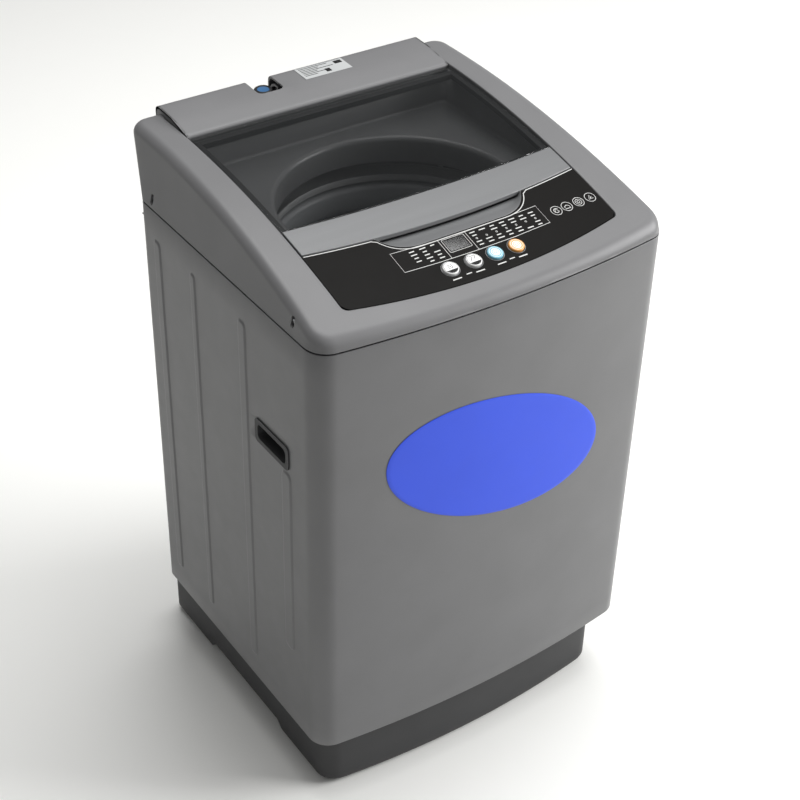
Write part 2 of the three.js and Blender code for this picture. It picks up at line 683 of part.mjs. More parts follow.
// ---------- Lid ----------
const LID_X = MOUTH_X - 2;
const LID_REAR_Y = MOUTH_REAR_Y - 5;
const WINDOW_FRONT_Y = LID_FRONT_Y + LID_STRIP;
const LID_FRAME_WIDTH = 9;
const LID_FRAME_DEPTH = 8;

function lidPlan(frontY, rearY, inset) {
  const side = MOUTH_X - LID_X + inset;
  return prism(bowedShape(frontY, LID_BOW, rearY, 0, side), SEAM_Z, CROWN_Z + 20);
}

// The frame under the glass: a border on all four sides, a broad front strip and the hinge barrel.
function lidFrame() {
  const glassTop = LID_THICK;
  const slab = crownSlab(LID_FRONT_Y - LID_BOW - 5, LID_REAR_Y, glassTop + GAP, LID_FRAME_DEPTH, LID_X);
  const hole = lidPlan(WINDOW_FRONT_Y + LID_FRAME_WIDTH, LID_REAR_Y - LID_FRAME_WIDTH, LID_FRAME_WIDTH);
  const border = slab.intersect(lidPlan(LID_FRONT_Y, LID_REAR_Y - 6, 0)).subtract(hole);
  const stripPlan = bowedShape(LID_FRONT_Y, LID_BOW, WINDOW_FRONT_Y - GAP, WINDOW_BOW, MOUTH_X - LID_X);
  const strip = crownSlab(LID_FRONT_Y - LID_BOW - 5, WINDOW_FRONT_Y + 5, 0, glassTop + 2, LID_X)
    .intersect(prism(stripPlan, 0, CROWN_Z + 20));
  const barrel = rod(BARREL_RADIUS, [0, HINGE_Y, HINGE_Z], 2 * LID_X, 'x', 20);
  const frame = border.add(strip).add(barrel);
  return [-1, 1].reduce((sum, side) => {
    const bore = rod(PIN_RADIUS + 0.1, [side * LID_X, HINGE_Y, HINGE_Z], 24, 'x', 16);
    return sum.subtract(bore);
  }, frame);
}

function lidWindow() {
  const slab = crownSlab(WINDOW_FRONT_Y - LID_BOW - 5, LID_REAR_Y, 0, LID_THICK, LID_X);
  const plan = bowedShape(WINDOW_FRONT_Y, WINDOW_BOW, LID_REAR_Y, 0, MOUTH_X - LID_X);
  return slab.intersect(prism(plan, 0, CROWN_Z + 20));
}

function lidPin(side) {
  const outer = side * (MOUTH_X + 6);
  const inner = side * (LID_X - 11.5);
  const length = Math.abs(outer - inner);
  return rod(PIN_RADIUS - 0.05, [(outer + inner) / 2, HINGE_Y, HINGE_Z], length, 'x', 16);
}

// ---------- Console ----------
const PANEL_TOP_Y = LID_FRONT_Y - FIT - 1;
const PANEL_FRONT_Y = CONSOLE_FRONT_Y + CONSOLE_BOW + FIT;
const BUTTON_RADIUS = 10.5;
const BUTTON_TRAVEL = 1.5;
const BUTTON_Y = FRONT_Y + 60;
const BUTTONS = [
  { name: 'button_start', x: -51, colour: 'white' },
  { name: 'button_water_level', x: -16, colour: 'white' },
  { name: 'button_function', x: 17, colour: 'blue' },
  { name: 'button_power', x: 50, colour: 'orange' },
];
const DISPLAY = { x0: -33, x1: -3, y0: FRONT_Y + 84, y1: FRONT_Y + 103 };
const SCOOP = { x: 3, width: 240, depth: 31, sink: 14 };
const PANEL_DROP = 0.6;           // the panel's face below the crown
const PANEL_SLOPE = Math.atan((REAR_Y - BUTTON_Y) / CROWN_RADIUS);

// Plan of the finger scoop: it opens to the lid and narrows towards its front edge.
function scoopShape(margin) {
  const half = SCOOP.width / 2 - margin;
  const rear = PANEL_TOP_Y + 12;
  const front = PANEL_TOP_Y - LID_BOW - SCOOP.depth + 6 + margin;
  const shape = new THREE.Shape();
  shape.moveTo(SCOOP.x - half, rear);
  shape.bezierCurveTo(
    SCOOP.x - half + 8, front + 14,
    SCOOP.x - half + 28, front,
    SCOOP.x - half + 58, front,
  );
  shape.lineTo(SCOOP.x + half - 58, front);
  shape.bezierCurveTo(
    SCOOP.x + half - 28, front,
    SCOOP.x + half - 8, front + 14,
    SCOOP.x + half, rear,
  );
  return shape;
}

// A tool across the panel, square to its slope at the buttons.
function panelTool(radius, x, y, depth = 30) {
  const z = crown(y);
  const tool = rod(radius, [0, 0, 0], depth, 'z', 18).rotate([(PANEL_SLOPE * 180) / Math.PI, 0, 0]);
  return tool.translate([x, y, z]);
}

function consolePanel() {
  const plan = prism(bowedShape(PANEL_FRONT_Y, CONSOLE_BOW, PANEL_TOP_Y, LID_BOW, FIT), 0, CROWN_Z);
  const low = PANEL_FRONT_Y - CONSOLE_BOW - 4;
  let panel = crownSlab(low, PANEL_TOP_Y + 4, PANEL_DROP, PANEL_THICK, MOUTH_X).intersect(plan);
  panel = panel.subtract(prism(scoopShape(0), 0, CROWN_Z));
  for (const { x } of BUTTONS) panel = panel.subtract(panelTool(BUTTON_RADIUS + 0.5, x, BUTTON_Y));
  const { x0, x1, y0, y1 } = DISPLAY;
  return panel.subtract(prism(roundedShape(x0 - 0.3, x1 + 0.3, y0 - 0.3, y1 + 0.3, 1.5), 0, CROWN_Z));
}

function fingerScoop() {
  const y0 = PANEL_TOP_Y - LID_BOW - SCOOP.depth;
  const y1 = LID_FRONT_Y + 1;
  const plan = prism(scoopShape(GAP), 0, CROWN_Z);
  const wall = 2;
  const half = SCOOP.width / 2 + 4;
  const tray = crownSlab(y0, y1 + 6, 1, SCOOP.sink + wall, half).intersect(plan);
  const hollow = prism(scoopShape(GAP + wall), 0, CROWN_Z)
    .intersect(crownSlab(y0, y1 + 12, -3, SCOOP.sink + 4, half));
  const rearLimit = prism(bowedShape(LID_FRONT_Y - 2, LID_BOW, LID_FRONT_Y + 30, 0), 0, CROWN_Z + 30);
  return tray.subtract(hollow).subtract(rearLimit);
}

function button({ x }) {
  const z = crown(BUTTON_Y);
  const shoulder = -PANEL_THICK - PANEL_DROP - GAP - 0.2;
  const profile = [
    [0, -9],
    [BUTTON_RADIUS + 1.5, -9],
    [BUTTON_RADIUS + 1.5, shoulder],
    [BUTTON_RADIUS, shoulder],
    [BUTTON_RADIUS, 1.6],
    [BUTTON_RADIUS - 1, 2.4],
    [0, 2.4],
  ];
  const body = turned(profile, 18, 0, 0).rotate([(PANEL_SLOPE * 180) / Math.PI, 0, 0]);
  return body.translate([x, BUTTON_Y, z]);
}

function displayWindow() {
  const { x0, x1, y0, y1 } = DISPLAY;
  return crownSlab(y0 - 2, y1 + 2, PANEL_DROP, PANEL_THICK, MOUTH_X)
    .intersect(prism(roundedShape(x0, x1, y0, y1, 1.2), 0, CROWN_Z));
}

function controlBoard() {
  const board = block([-120, -25, -1], [120, 25, 0.6]);
  const parts = [
    block([-100, -24, -9], [-60, 10, -0.9]),
    block([-40, -20, -13], [-10, 14, -0.9]),
    block([30, -23, -7], [90, -6, -0.9]),
  ];
  const assembly = parts.reduce((sum, piece) => sum.add(piece), board);
  const y = FRONT_Y + 64;
  return assembly.rotate([(PANEL_SLOPE * 180) / Math.PI, 0, 0]).translate([0, y, crown(y) - 17]);
}

// ---------- Trim ----------
const DECAL = { x: -3, z: SEAM_Z - 236, width: 350, height: 205, tilt: 8 };

// A thin skin on the bowed front, cut by a plan seen from the front.
function frontDecal() {
  const skin = planPrism(CABINET_PLAN, -GAP - 0.5, SEAM_Z - 380, SEAM_Z - 80)
    .subtract(planPrism(CABINET_PLAN, -GAP, SEAM_Z - 381, SEAM_Z - 79));
  const oval = rod(1, [0, 0, 0], 60, 'y', 48).scale([DECAL.width / 2, 1, DECAL.height / 2]);
  const tool = oval.rotate([0, DECAL.tilt, 0]).translate([DECAL.x, FRONT_Y, DECAL.z]);
  return skin.intersect(tool);
}

function ratingLabel() {
  const y0 = REAR_Y + 14;
  const slopePoints = deckSection(0).filter(([y]) => y > REAR_Y && y < COVER_REAR_Y - 6).reverse();
  const [[ya, za], [yb, zb]] = slopePoints;
  const skin = block([0, 0, GAP], [76, 34, GAP + 0.4]);
  const rise = (zb - za) / (yb - ya);
  const angle = (Math.atan(rise) * 180) / Math.PI;
  return skin.rotate([angle, 0, 0]).translate([2, y0, za + (y0 - ya) * rise]);
}

// ---------- Inlet ----------
const INLET = { x: NOTCH_X, y: REAR_Y + 34 };

function inletValve() {
  const { x, y } = INLET;
  const bodyLow = CROWN_Z - 44;
  const top = CROWN_Z - 6;
  const spigot = turned([
    [0, bodyLow],
    [17, bodyLow],
    [17, bodyLow + 22],
    [11, bodyLow + 26],
    [11, top - 3],
    [10, top],
    [7, top],
    [7, bodyLow + 30],
    [0, bodyLow + 30],
  ], 16, x, y);
  const coil = block([x - 16, y - 34, bodyLow - 4], [x + 16, y - 6, bodyLow + 20]);
  const outlet = rod(7, [x, y - 44, bodyLow + 8], 32, 'y', 16);
  return spigot.add(coil).add(outlet);
}

function inletCap() {
  const { x, y } = INLET;
  const low = CROWN_Z - 16;
  const top = CROWN_Z + 1;
  return turned([
    [0, top - 3],
    [11 + GAP, top - 3],
    [11 + GAP, low],
    [14, low],
    [14, top - 5],
    [12.5, top - 1],
    [11, top],
    [0, top],
  ], 20, x, y);
}

// ---------- Tub and suspension ----------
const TUB_TOP_Z = TUB_FLOOR_Z + TUB_HEIGHT;
const SHAFT_RADIUS = 9.5;
const SPIN_TUBE_RADIUS = 16;
const SEAL_RADIUS = 28;
const DRAIN = { x: -108, y: TUB_Y + 104 };
const ROD_X = 195;
const ROD_REACH_Y = 182;
const ROD_RADIUS = 4;
const ROD_TOP_Z = SEAM_Z - 24;
const LUG_Z = 330;
const CUP_Z = 246;
const ROD_PLACES = [
  ['front_left', -1, -1],
  ['front_right', 1, -1],
  ['rear_left', -1, 1],
  ['rear_right', 1, 1],
].map(([name, sx, sy]) => ({ name, x: sx * ROD_X, y: TUB_Y + sy * ROD_REACH_Y, sx, sy }));

// A bar in plan from the tub's wall out to a suspension rod, with a round eye at its end.
function tubLug({ x, y, sx, sy }) {
  const angle = Math.atan2(y - TUB_Y, x);
  const reach = Math.hypot(x, y - TUB_Y);
  const start = TUB_RADIUS - 2;
  const arm = block([start, -17, LUG_Z], [reach, 17, LUG_Z + 12]);
  const web = block([start, -3, LUG_Z - 40], [reach - 24, 3, LUG_Z + 1]);
  const turn = (angle * 180) / Math.PI;
  const bar = arm.add(web).rotate([0, 0, turn]).translate([0, TUB_Y, 0]);
  const eye = rod(17, [x, y, LUG_Z + 6], 12);
  return bar.add(eye).subtract(rod(ROD_RADIUS + 2.5, [x, y, LUG_Z], 40, 'z', 16));
}

function outerTub() {
  const inner = TUB_RADIUS - TUB_WALL;
  const under = TUB_FLOOR_Z - TUB_WALL;
  let tub = turnedRing([
    [SEAL_RADIUS, under],
    [TUB_RADIUS - 10, under],
    [TUB_RADIUS, under + 10],
    [TUB_RADIUS, TUB_TOP_Z - TUB_WALL],
    [TUB_RADIUS + 6, TUB_TOP_Z - TUB_WALL],
    [TUB_RADIUS + 6, TUB_TOP_Z],
    [inner, TUB_TOP_Z],
    [inner, under + 11],
    [TUB_RADIUS - 11, TUB_FLOOR_Z],
    [SEAL_RADIUS, TUB_FLOOR_Z],
  ], 28);
  for (const place of ROD_PLACES) tub = tub.add(tubLug(place));
  const { x, y } = DRAIN;
  return tub.subtract(rod(9, [x, y, TUB_FLOOR_Z], 20, 'z', 16));
}

// The splash ring clipped over the tub's rim, covering the gap to the basket.
function tubRing() {
  const low = TUB_TOP_Z + GAP;
  const inner = DRUM_MOUTH_RADIUS + 6;
  return turnedRing([
    [inner, low],
    [TUB_RADIUS + 9, low],
    [TUB_RADIUS + 9, low + 3],
    [inner + 6, low + 5],
    [inner + 3, low + 9],
    [inner, low + 9],
  ], 28);
}

function suspensionRod({ x, y }) {
  return turned([
    [0, CUP_Z - 12],
    [16, CUP_Z - 12],
    [18, CUP_Z],
    [ROD_RADIUS, CUP_Z],
    [ROD_RADIUS, ROD_TOP_Z + SHEET + GAP],
    [9, ROD_TOP_Z + SHEET + GAP],
    [9, ROD_TOP_Z + 8],
    [5, ROD_TOP_Z + 12],
    [0, ROD_TOP_Z + 12],
  ], 16, x, y);
}

function suspensionSpring({ x, y }) {
  const wire = 1.8;
  const turns = 5;
  const radius = 11;
  const low = CUP_Z + wire + GAP;
  const high = LUG_Z - wire - GAP;
  class Helix extends THREE.Curve {
    getPoint(t) {
      const angle = t * turns * Math.PI * 2;
      const z = low + (high - low) * t;
      return new THREE.Vector3(radius * Math.cos(angle), radius * Math.sin(angle), z);
    }
  }
  const section = new THREE.Shape([0, 1, 2, 3].map((i) => {
    const angle = (i * Math.PI) / 2;
    return new THREE.Vector2(wire * Math.cos(angle), wire * Math.sin(angle));
  }));
  const geometry = new THREE.ExtrudeGeometry(section, {
    steps: turns * 8,
    extrudePath: new Helix(),
  });
  geometry.translate(x, y, 0);
  return solid(geometry);
}

// Gusset plates in the cabinet's top corners, each with a hole that a suspension rod hangs in.
function suspensionGussets() {
  const plates = ROD_PLACES.map(({ x, y, sx, sy }) => {
    const xs = [x - sx * 22, x + sx * 100];
    const ys = [y - sy * 22, y + sy * 100];
    const plate = block(
      [Math.min(...xs), Math.min(...ys), ROD_TOP_Z],
      [Math.max(...xs), Math.max(...ys), ROD_TOP_Z + SHEET],
    );
    return plate.subtract(rod(ROD_RADIUS + 1.5, [x, y, ROD_TOP_Z], 20, 'z', 10));
  });
  const bounds = planPrism(CABINET_PLAN, SHEET / 2, ROD_TOP_Z - 5, ROD_TOP_Z + 10);
  return plates.reduce((sum, plate) => sum.add(plate)).intersect(bounds);
}

// ---------- Basket and pulsator ----------
const BASKET_RADIUS = TUB_RADIUS - TUB_WALL - BASKET_GAP;
const BASKET_FLOOR_Z = TUB_FLOOR_Z + 18;
const BALANCE_Z = TUB_TOP_Z - 44;
const BALANCE_TOP_Z = TUB_TOP_Z - 6;

function washBasket() {
  const inner = BASKET_RADIUS - BASKET_WALL;
  let basket = turnedRing([
    [SHAFT_RADIUS + 2, BASKET_FLOOR_Z],
    [BASKET_RADIUS - 14, BASKET_FLOOR_Z],
    [BASKET_RADIUS, BASKET_FLOOR_Z + 14],
    [BASKET_RADIUS, BALANCE_Z - GAP],
    [inner, BALANCE_Z - GAP],
    [inner, BASKET_FLOOR_Z + 15],
    [BASKET_RADIUS - 14.6, BASKET_FLOOR_Z + BASKET_WALL],
    [SHAFT_RADIUS + 2, BASKET_FLOOR_Z + BASKET_WALL],
  ], 24);
  const columns = 10;
  for (let column = 0; column < columns; column += 1) {
    const angle = (column / columns) * 360 + 18;
    for (let row = 0; row < 3; row += 1) {
      const z = BASKET_FLOOR_Z + 90 + row * 110;
      const slot = block([BASKET_RADIUS - 6, -3, z - 22], [BASKET_RADIUS + 4, 3, z + 22]);
      basket = basket.subtract(slot.rotate([0, 0, angle]).translate([0, TUB_Y, 0]));
    }
  }
  return basket;
}

function balanceRing() {
  const outer = BASKET_RADIUS + 3;
  const inner = DRUM_MOUTH_RADIUS + 2;
  return turnedRing([
    [inner + 4, BALANCE_Z],
    [outer, BALANCE_Z],
    [outer, BALANCE_TOP_Z - 6],
    [outer - 6, BALANCE_TOP_Z],
    [inner + 5, BALANCE_TOP_Z],
    [inner, BALANCE_TOP_Z - 6],
    [inner, BALANCE_Z + 6],
  ], 24);
}

const PULSATOR_RADIUS = BASKET_RADIUS - 24;
const PULSATOR_Z = BASKET_FLOOR_Z + BASKET_WALL + 3;

function pulsator() {
  const bore = SHAFT_RADIUS + 0.4;
  let disc = turnedRing([
    [bore, PULSATOR_Z],
    [PULSATOR_RADIUS, PULSATOR_Z],
    [PULSATOR_RADIUS, PULSATOR_Z + 6],
    [PULSATOR_RADIUS - 14, PULSATOR_Z + 10],
    [70, PULSATOR_Z + 18],
    [42, PULSATOR_Z + 36],
    [28, PULSATOR_Z + 44],
    [bore, PULSATOR_Z + 44],
  ], 24);
  const blades = 6;
  for (let i = 0; i < blades; i += 1) {
    const blade = sideExtrusion([
      [32, PULSATOR_Z + 8],
      [PULSATOR_RADIUS - 12, PULSATOR_Z + 8],
      [PULSATOR_RADIUS - 16, PULSATOR_Z + 17],
      [80, PULSATOR_Z + 30],
      [40, PULSATOR_Z + 42],
      [32, PULSATOR_Z + 42],
    ], -6, 6);
    disc = disc.add(blade.rotate([0, 0, (i / blades) * 360]).translate([0, TUB_Y, 0]));
  }
  return disc;
}

const SHAFT_TOP_Z = PULSATOR_Z + 34;

function pulsatorScrew() {
  const seat = PULSATOR_Z + 44 + GAP;
  return turned([[0, SHAFT_TOP_Z + GAP], [6, SHAFT_TOP_Z + GAP], [6, seat], [15, seat], [15, seat + 3],
    [11, seat + 7], [0, seat + 7]], 20);
}

// ---------- Drive ----------
const PLATE_TOP_Z = TUB_FLOOR_Z - TUB_WALL - GAP;
const PLATE_THICK = 3;
const CLUTCH_TOP_Z = PLATE_TOP_Z - PLATE_THICK - GAP;
const CLUTCH_LOW_Z = CLUTCH_TOP_Z - 74;
const GROOVE = 8;
const BELT_HALF = 4.5;

function supportPlate() {
  const half = 62;
  const plan = roundedShape(-95, SHAFT_SPACING + half, TUB_Y - half, TUB_Y + half, 20);
  const plate = prism(plan, PLATE_TOP_Z - PLATE_THICK, PLATE_TOP_Z);
  return plate.subtract(rod(SEAL_RADIUS, [0, TUB_Y, PLATE_TOP_Z], 20, 'z', 24));
}

function waterSeal() {
  return turnedRing([
    [SPIN_TUBE_RADIUS + GAP, PLATE_TOP_Z - PLATE_THICK],
    [SEAL_RADIUS - GAP, PLATE_TOP_Z - PLATE_THICK],
    [SEAL_RADIUS - GAP, TUB_FLOOR_Z],
    [SEAL_RADIUS - 5, TUB_FLOOR_Z + 4],
    [SPIN_TUBE_RADIUS + GAP, TUB_FLOOR_Z + 6],
  ], 16);
}

function clutchHousing() {
  return turnedRing([
    [SPIN_TUBE_RADIUS + GAP, CLUTCH_LOW_Z],
    [34, CLUTCH_LOW_Z],
    [50, CLUTCH_LOW_Z + 14],
    [50, CLUTCH_TOP_Z - 8],
    [64, CLUTCH_TOP_Z - 4],
    [64, CLUTCH_TOP_Z],
    [SPIN_TUBE_RADIUS + GAP, CLUTCH_TOP_Z],
  ], 20);
}

// The hollow spin shaft, with the flange that carries the basket.
function spinShaft() {
  const bore = SHAFT_RADIUS + 0.4;
  const flange = BASKET_FLOOR_Z - GAP;
  return turnedRing([
    [bore, CLUTCH_LOW_Z - 4],
    [SPIN_TUBE_RADIUS, CLUTCH_LOW_Z - 4],
    [SPIN_TUBE_RADIUS, flange - 5],
    [60, flange - 3],
    [60, flange],
    [bore, flange],
  ], 18);
}

function pulley(radius, bore, x) {
  return turnedRing([
    [bore, BELT_Z - BELT_HALF - 5],
    [radius, BELT_Z - BELT_HALF - 5],
    [radius, BELT_Z - BELT_HALF - 1],
    [radius - GROOVE, BELT_Z - BELT_HALF - 0.5],
    [radius - GROOVE, BELT_Z + BELT_HALF + 0.5],
    [radius, BELT_Z + BELT_HALF + 1],
    [radius, BELT_Z + BELT_HALF + 5],
    [bore, BELT_Z + BELT_HALF + 5],
  ], radius > 40 ? 24 : 14, x, TUB_Y);
}

function drivenPulley() {
  let wheel = pulley(DRIVEN_PULLEY_RADIUS, SHAFT_RADIUS + GAP, 0);
  for (let i = 0; i < 5; i += 1) {
    const angle = (i / 5) * Math.PI * 2;
    const x = 44 * Math.cos(angle);
    wheel = wheel.subtract(rod(15, [x, TUB_Y + 44 * Math.sin(angle), BELT_Z], 40, 'z', 8));
  }
  return wheel;
}

function agitatorShaft() {
  const low = BELT_Z - 16;
  return rod(SHAFT_RADIUS, [0, TUB_Y, (SHAFT_TOP_Z + low) / 2], SHAFT_TOP_Z - low, 'z', 20);
}

function motorPulley() {
  const low = BELT_Z - BELT_HALF - 5;
  const top = MOTOR_LOW_Z + 14;
  const spindle = rod(6, [SHAFT_SPACING, TUB_Y, (low + top) / 2], top - low, 'z', 16);
  return pulley(MOTOR_PULLEY_RADIUS, 5, SHAFT_SPACING).add(spindle);
}

const MOTOR_LOW_Z = BELT_Z + 18;

function motor() {
  const top = CLUTCH_TOP_Z;
  const bore = 6 + GAP;
  const section = [
    [0, MOTOR_LOW_Z + 16],
    [bore, MOTOR_LOW_Z + 16],
    [bore, MOTOR_LOW_Z],
    [22, MOTOR_LOW_Z],
    [46, MOTOR_LOW_Z + 12],
    [56, MOTOR_LOW_Z + 14],
    [56, top - 12],
    [46, top - 8],
    [46, top],
    [0, top],
  ];
  return turned(section, 20, SHAFT_SPACING, TUB_Y);
}

function beltShape(clear) {
  const large = DRIVEN_PULLEY_RADIUS - GROOVE + clear;
  const small = MOTOR_PULLEY_RADIUS - GROOVE + clear;
  const lean = Math.acos((large - small) / SHAFT_SPACING);
  const shape = new THREE.Shape();
  shape.absarc(0, TUB_Y, large, lean, Math.PI * 2 - lean);
  shape.absarc(SHAFT_SPACING, TUB_Y, small, -lean, lean);
  return shape;
}

function driveBelt() {
  const low = BELT_Z - BELT_HALF;
  const high = BELT_Z + BELT_HALF;
  const options = { curveSegments: 8 };
  const inner = prism(beltShape(GAP + 0.3), low - 1, high + 1, options);
  return prism(beltShape(GROOVE - 1), low, high, options).subtract(inner);
}

// ---------- Drain ----------
const SPIGOT = { x: -150, z: CABINET_Z + 60 };

function drainValve() {
  const { x, y } = DRAIN;
  const top = TUB_FLOOR_Z - TUB_WALL - GAP;
  const body = turned([
    [0, top - 46],
    [20, top - 46],
    [20, top - 4],
    [26, top - 4],
    [26, top],
    [8, top],
    [8, top - 30],
    [0, top - 30],
  ], 20, x, y);
  const outlet = rod(11, [x, y + 26, top - 32], 24, 'y', 16);
  const actuator = block([x - 34, y - 52, top - 44], [x + 6, y - 16, top - 14]);
  return body.add(outlet).add(actuator);
}

// The corrugated hose from the drain valve down to the spigot in the rear panel.
function drainHose() {
  const { x, y } = DRAIN;
  const startZ = TUB_FLOOR_Z - TUB_WALL - GAP - 32;
  const start = [x, y + 38 + GAP, startZ];
  const end = [SPIGOT.x, REAR_Y - 22, SPIGOT.z];
  const path = new THREE.CubicBezierCurve3(
    new THREE.Vector3(...start),
    new THREE.Vector3(start[0], start[1] + 45, start[2]),
    new THREE.Vector3(end[0], end[1] - 45, end[2]),
    new THREE.Vector3(...end),
  );
  const section = new THREE.Shape();
  section.absarc(0, 0, 12, 0, Math.PI * 2);
  return solid(new THREE.ExtrudeGeometry(section, { steps: 7, curveSegments: 4, extrudePath: path }));
}

function drainSpigot() {
  const y = REAR_Y + GAP + SHEET;
  const { x, z } = SPIGOT;
  const tube = rod(11, [x, y + 4, z], 50, 'y', 20).add(rod(20, [x, y + GAP + 2, z], 4, 'y', 20));
  return tube.subtract(rod(8.5, [x, y, z], 80, 'y', 20));
}

// A mesh bag frame clipped inside the basket's wall.
function lintFilter() {
  const half = 32;
  const tall = 70;
  const rim = 8;
  const options = { curveSegments: 3 };
  const plate = prism(roundedShape(-half, half, -tall, tall, 14), 0, 9, options);
  const opening = roundedShape(-half + rim, half - rim, -tall + rim, tall - rim, 9);
  const upright = plate.subtract(prism(opening, 3, 12, options)).rotate([90, 0, 0]);
  const inner = BASKET_RADIUS - BASKET_WALL;
  const chordY = Math.sqrt(inner ** 2 - half ** 2);
  return upright.translate([0, TUB_Y + chordY - 1.5, BALANCE_Z - 130]);
}

// ---------- Screws ----------
const SCREW_RADIUS = 1.9;

function coverScrew({ side, y, z }) {
  const x = side * (POCKET_X - 5);
  const head = rod(3.4, [side * (POCKET_X + 1.4), y, z], 2, 'x', 12);
  return head.add(rod(SCREW_RADIUS, [x + side, y, z], 11, 'x', 10));
}

function rearScrew(side) {
  const [x, z] = rearScrewPlace(side);
  return panScrew(4.5, 2.5, SCREW_RADIUS, 8, [x, REAR_Y + GAP + SHEET + GAP, z]);
}

function withScrewHoles(shape) {
  return [-1, 1].reduce((sum, side) => {
    const [x, z] = rearScrewPlace(side);
    return sum.subtract(rod(SCREW_RADIUS + GAP, [x, REAR_Y, z], 12, 'y', 10));
  }, shape);
}

// ---------- Assembly ----------
part('cabinet_shell', withScrewHoles(cabinetShell().add(suspensionGussets())), 'steel');
const spigotHole = rod(11 + GAP, [SPIGOT.x, REAR_Y, SPIGOT.z], 20, 'y', 20);
part('rear_panel', withScrewHoles(rearPanel()).subtract(spigotHole), 'steel');
part('base_frame', baseFrame(), 'base');
for (const { name, x, y } of FOOT_PLACES) part(name, foot(x, y), 'rubber');
const outletHole = rod(7 + GAP, [INLET.x, WELL_REAR_Y + 1, CROWN_Z - 36], 16, 'y', 16);
part('top_cover', topCover().subtract(outletHole), 'body');
part('rear_deck_cover', rearDeck(), 'body');
part('console_panel', consolePanel(), 'console');
part('finger_scoop', fingerScoop(), 'body');
part('display_window', displayWindow(), 'smoke');
part('control_board', controlBoard(), 'board');
for (const spec of BUTTONS) part(spec.name, button(spec), spec.colour);
part('lid_frame', lidFrame(), 'body');
part('lid_window', lidWindow(), 'smoke');
for (const [word, side] of [['left', -1], ['right', 1]]) {
  part(`lid_pin_${word}`, lidPin(side), 'zinc');
  part(`grip_cup_${word}`, gripCup(side), 'base');
  part(`rear_screw_${word}`, rearScrew(side), 'zinc');
}
for (const place of SCREW_POCKETS) {
  const end = place.y > TUB_Y ? 'rear' : 'front';
  part(`cover_screw_${end}_${place.side < 0 ? 'left' : 'right'}`, coverScrew(place), 'zinc');
}
part('front_decal', frontDecal(), 'decal');
part('rating_label', ratingLabel(), 'label');
part('inlet_valve', inletValve(), 'black');
part('inlet_cap', inletCap(), 'cap');

part('outer_tub', outerTub(), 'plastic');
part('tub_ring', tubRing(), 'plastic');
for (const place of ROD_PLACES) {
  part(`suspension_rod_${place.name}`, suspensionRod(place), 'zinc');
  part(`suspension_spring_${place.name}`, suspensionSpring(place), 'zinc');
}
part('wash_basket', washBasket(), 'stainless');
part('balance_ring', balanceRing(), 'plastic');
part('lint_filter', lintFilter(), 'blue');
part('pulsator', pulsator(), 'plastic');
part('pulsator_screw', pulsatorScrew(), 'plastic');
part('support_plate', supportPlate(), 'zinc');
part('water_seal', waterSeal(), 'rubber');
part('clutch_housing', clutchHousing(), 'iron');
part('spin_shaft', spinShaft(), 'zinc');
part('agitator_shaft', agitatorShaft(), 'zinc');
part('driven_pulley', drivenPulley(), 'iron');
part('drive_belt', driveBelt(), 'rubber');
part('motor', motor(), 'iron');
part('motor_pulley', motorPulley(), 'zinc');
part('drain_valve', drainValve(), 'plastic');
part('drain_hose', drainHose(), 'rubber');
part('drain_spigot', drainSpigot(), 'black');

export default machine;
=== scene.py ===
import json
import math

import bmesh
import bpy
import numpy as np
from mathutils import Matrix, Vector


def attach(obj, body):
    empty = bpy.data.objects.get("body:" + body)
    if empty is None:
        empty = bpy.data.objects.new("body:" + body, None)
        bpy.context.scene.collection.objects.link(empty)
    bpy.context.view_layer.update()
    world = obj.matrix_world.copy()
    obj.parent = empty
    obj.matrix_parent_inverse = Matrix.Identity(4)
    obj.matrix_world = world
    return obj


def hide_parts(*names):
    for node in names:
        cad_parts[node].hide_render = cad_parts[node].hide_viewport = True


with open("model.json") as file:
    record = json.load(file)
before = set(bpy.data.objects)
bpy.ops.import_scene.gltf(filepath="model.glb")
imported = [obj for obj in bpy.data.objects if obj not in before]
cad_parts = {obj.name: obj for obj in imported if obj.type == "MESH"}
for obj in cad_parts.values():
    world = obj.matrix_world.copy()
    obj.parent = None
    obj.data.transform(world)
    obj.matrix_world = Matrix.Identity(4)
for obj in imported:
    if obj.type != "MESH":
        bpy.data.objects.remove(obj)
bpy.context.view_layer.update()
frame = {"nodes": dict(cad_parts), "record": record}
NODES = frame["nodes"]

# ---------- Sizes in millimetres, as in the CAD source ----------
MM = 0.001
HALF = 270.0                         # half the cabinet's width
FRONT_Y = -260.0                     # middle of the bowed front
REAR_Y = 205.0
FRONT_CORNER, REAR_CORNER = 32, 16   # radii of the cabinet's corners in plan
COVER_REAR_Y = 260.0                 # the top cover overhangs the cabinet at the rear
FOOT_DROP = 8.0                      # the base's lower edge above the floor
CABINET_Z = 117.0                    # lower edge of the cabinet
SEAM_Z = 782.0                       # joint between the cabinet and the top cover
CROWN_Z = 870.0                      # top of the curve
BOW = 20.0                           # how far the front bows out
SHOULDER = 14.0                      # radius of the top cover's edge
LEAN = 16.0                          # how far the top cover leans in
CROWN_RADIUS = 1400.0                # the top's curve from the rear edge forwards
MOUTH_X = 210.0                      # half the width of the cover's mouth
MOUTH_END_Y = 235.0                  # rear end of the cover's mouth, under the deck
LID_FRONT_Y = -109.0                 # front of the lid at its sides; its middle is LID_BOW further forward
LID_X = 208.0
LID_REAR_Y = 166.0
LID_BOW = 15.0
WINDOW_FRONT_Y = -63.0               # front of the window, behind the strip
WINDOW_BOW = 8.0
CONSOLE_FRONT_Y = -228.0             # front of the cover's mouth
CONSOLE_BOW = 22.0
WELL_FLOOR_Z = 808.0                 # floor of the well under the lid
TUB_Y = -21.0                        # the drum's axis
PANEL_X = 209.2                      # half the width of the console plate and the deck
PANEL_DROP = 0.6                     # the plate's face below the crown
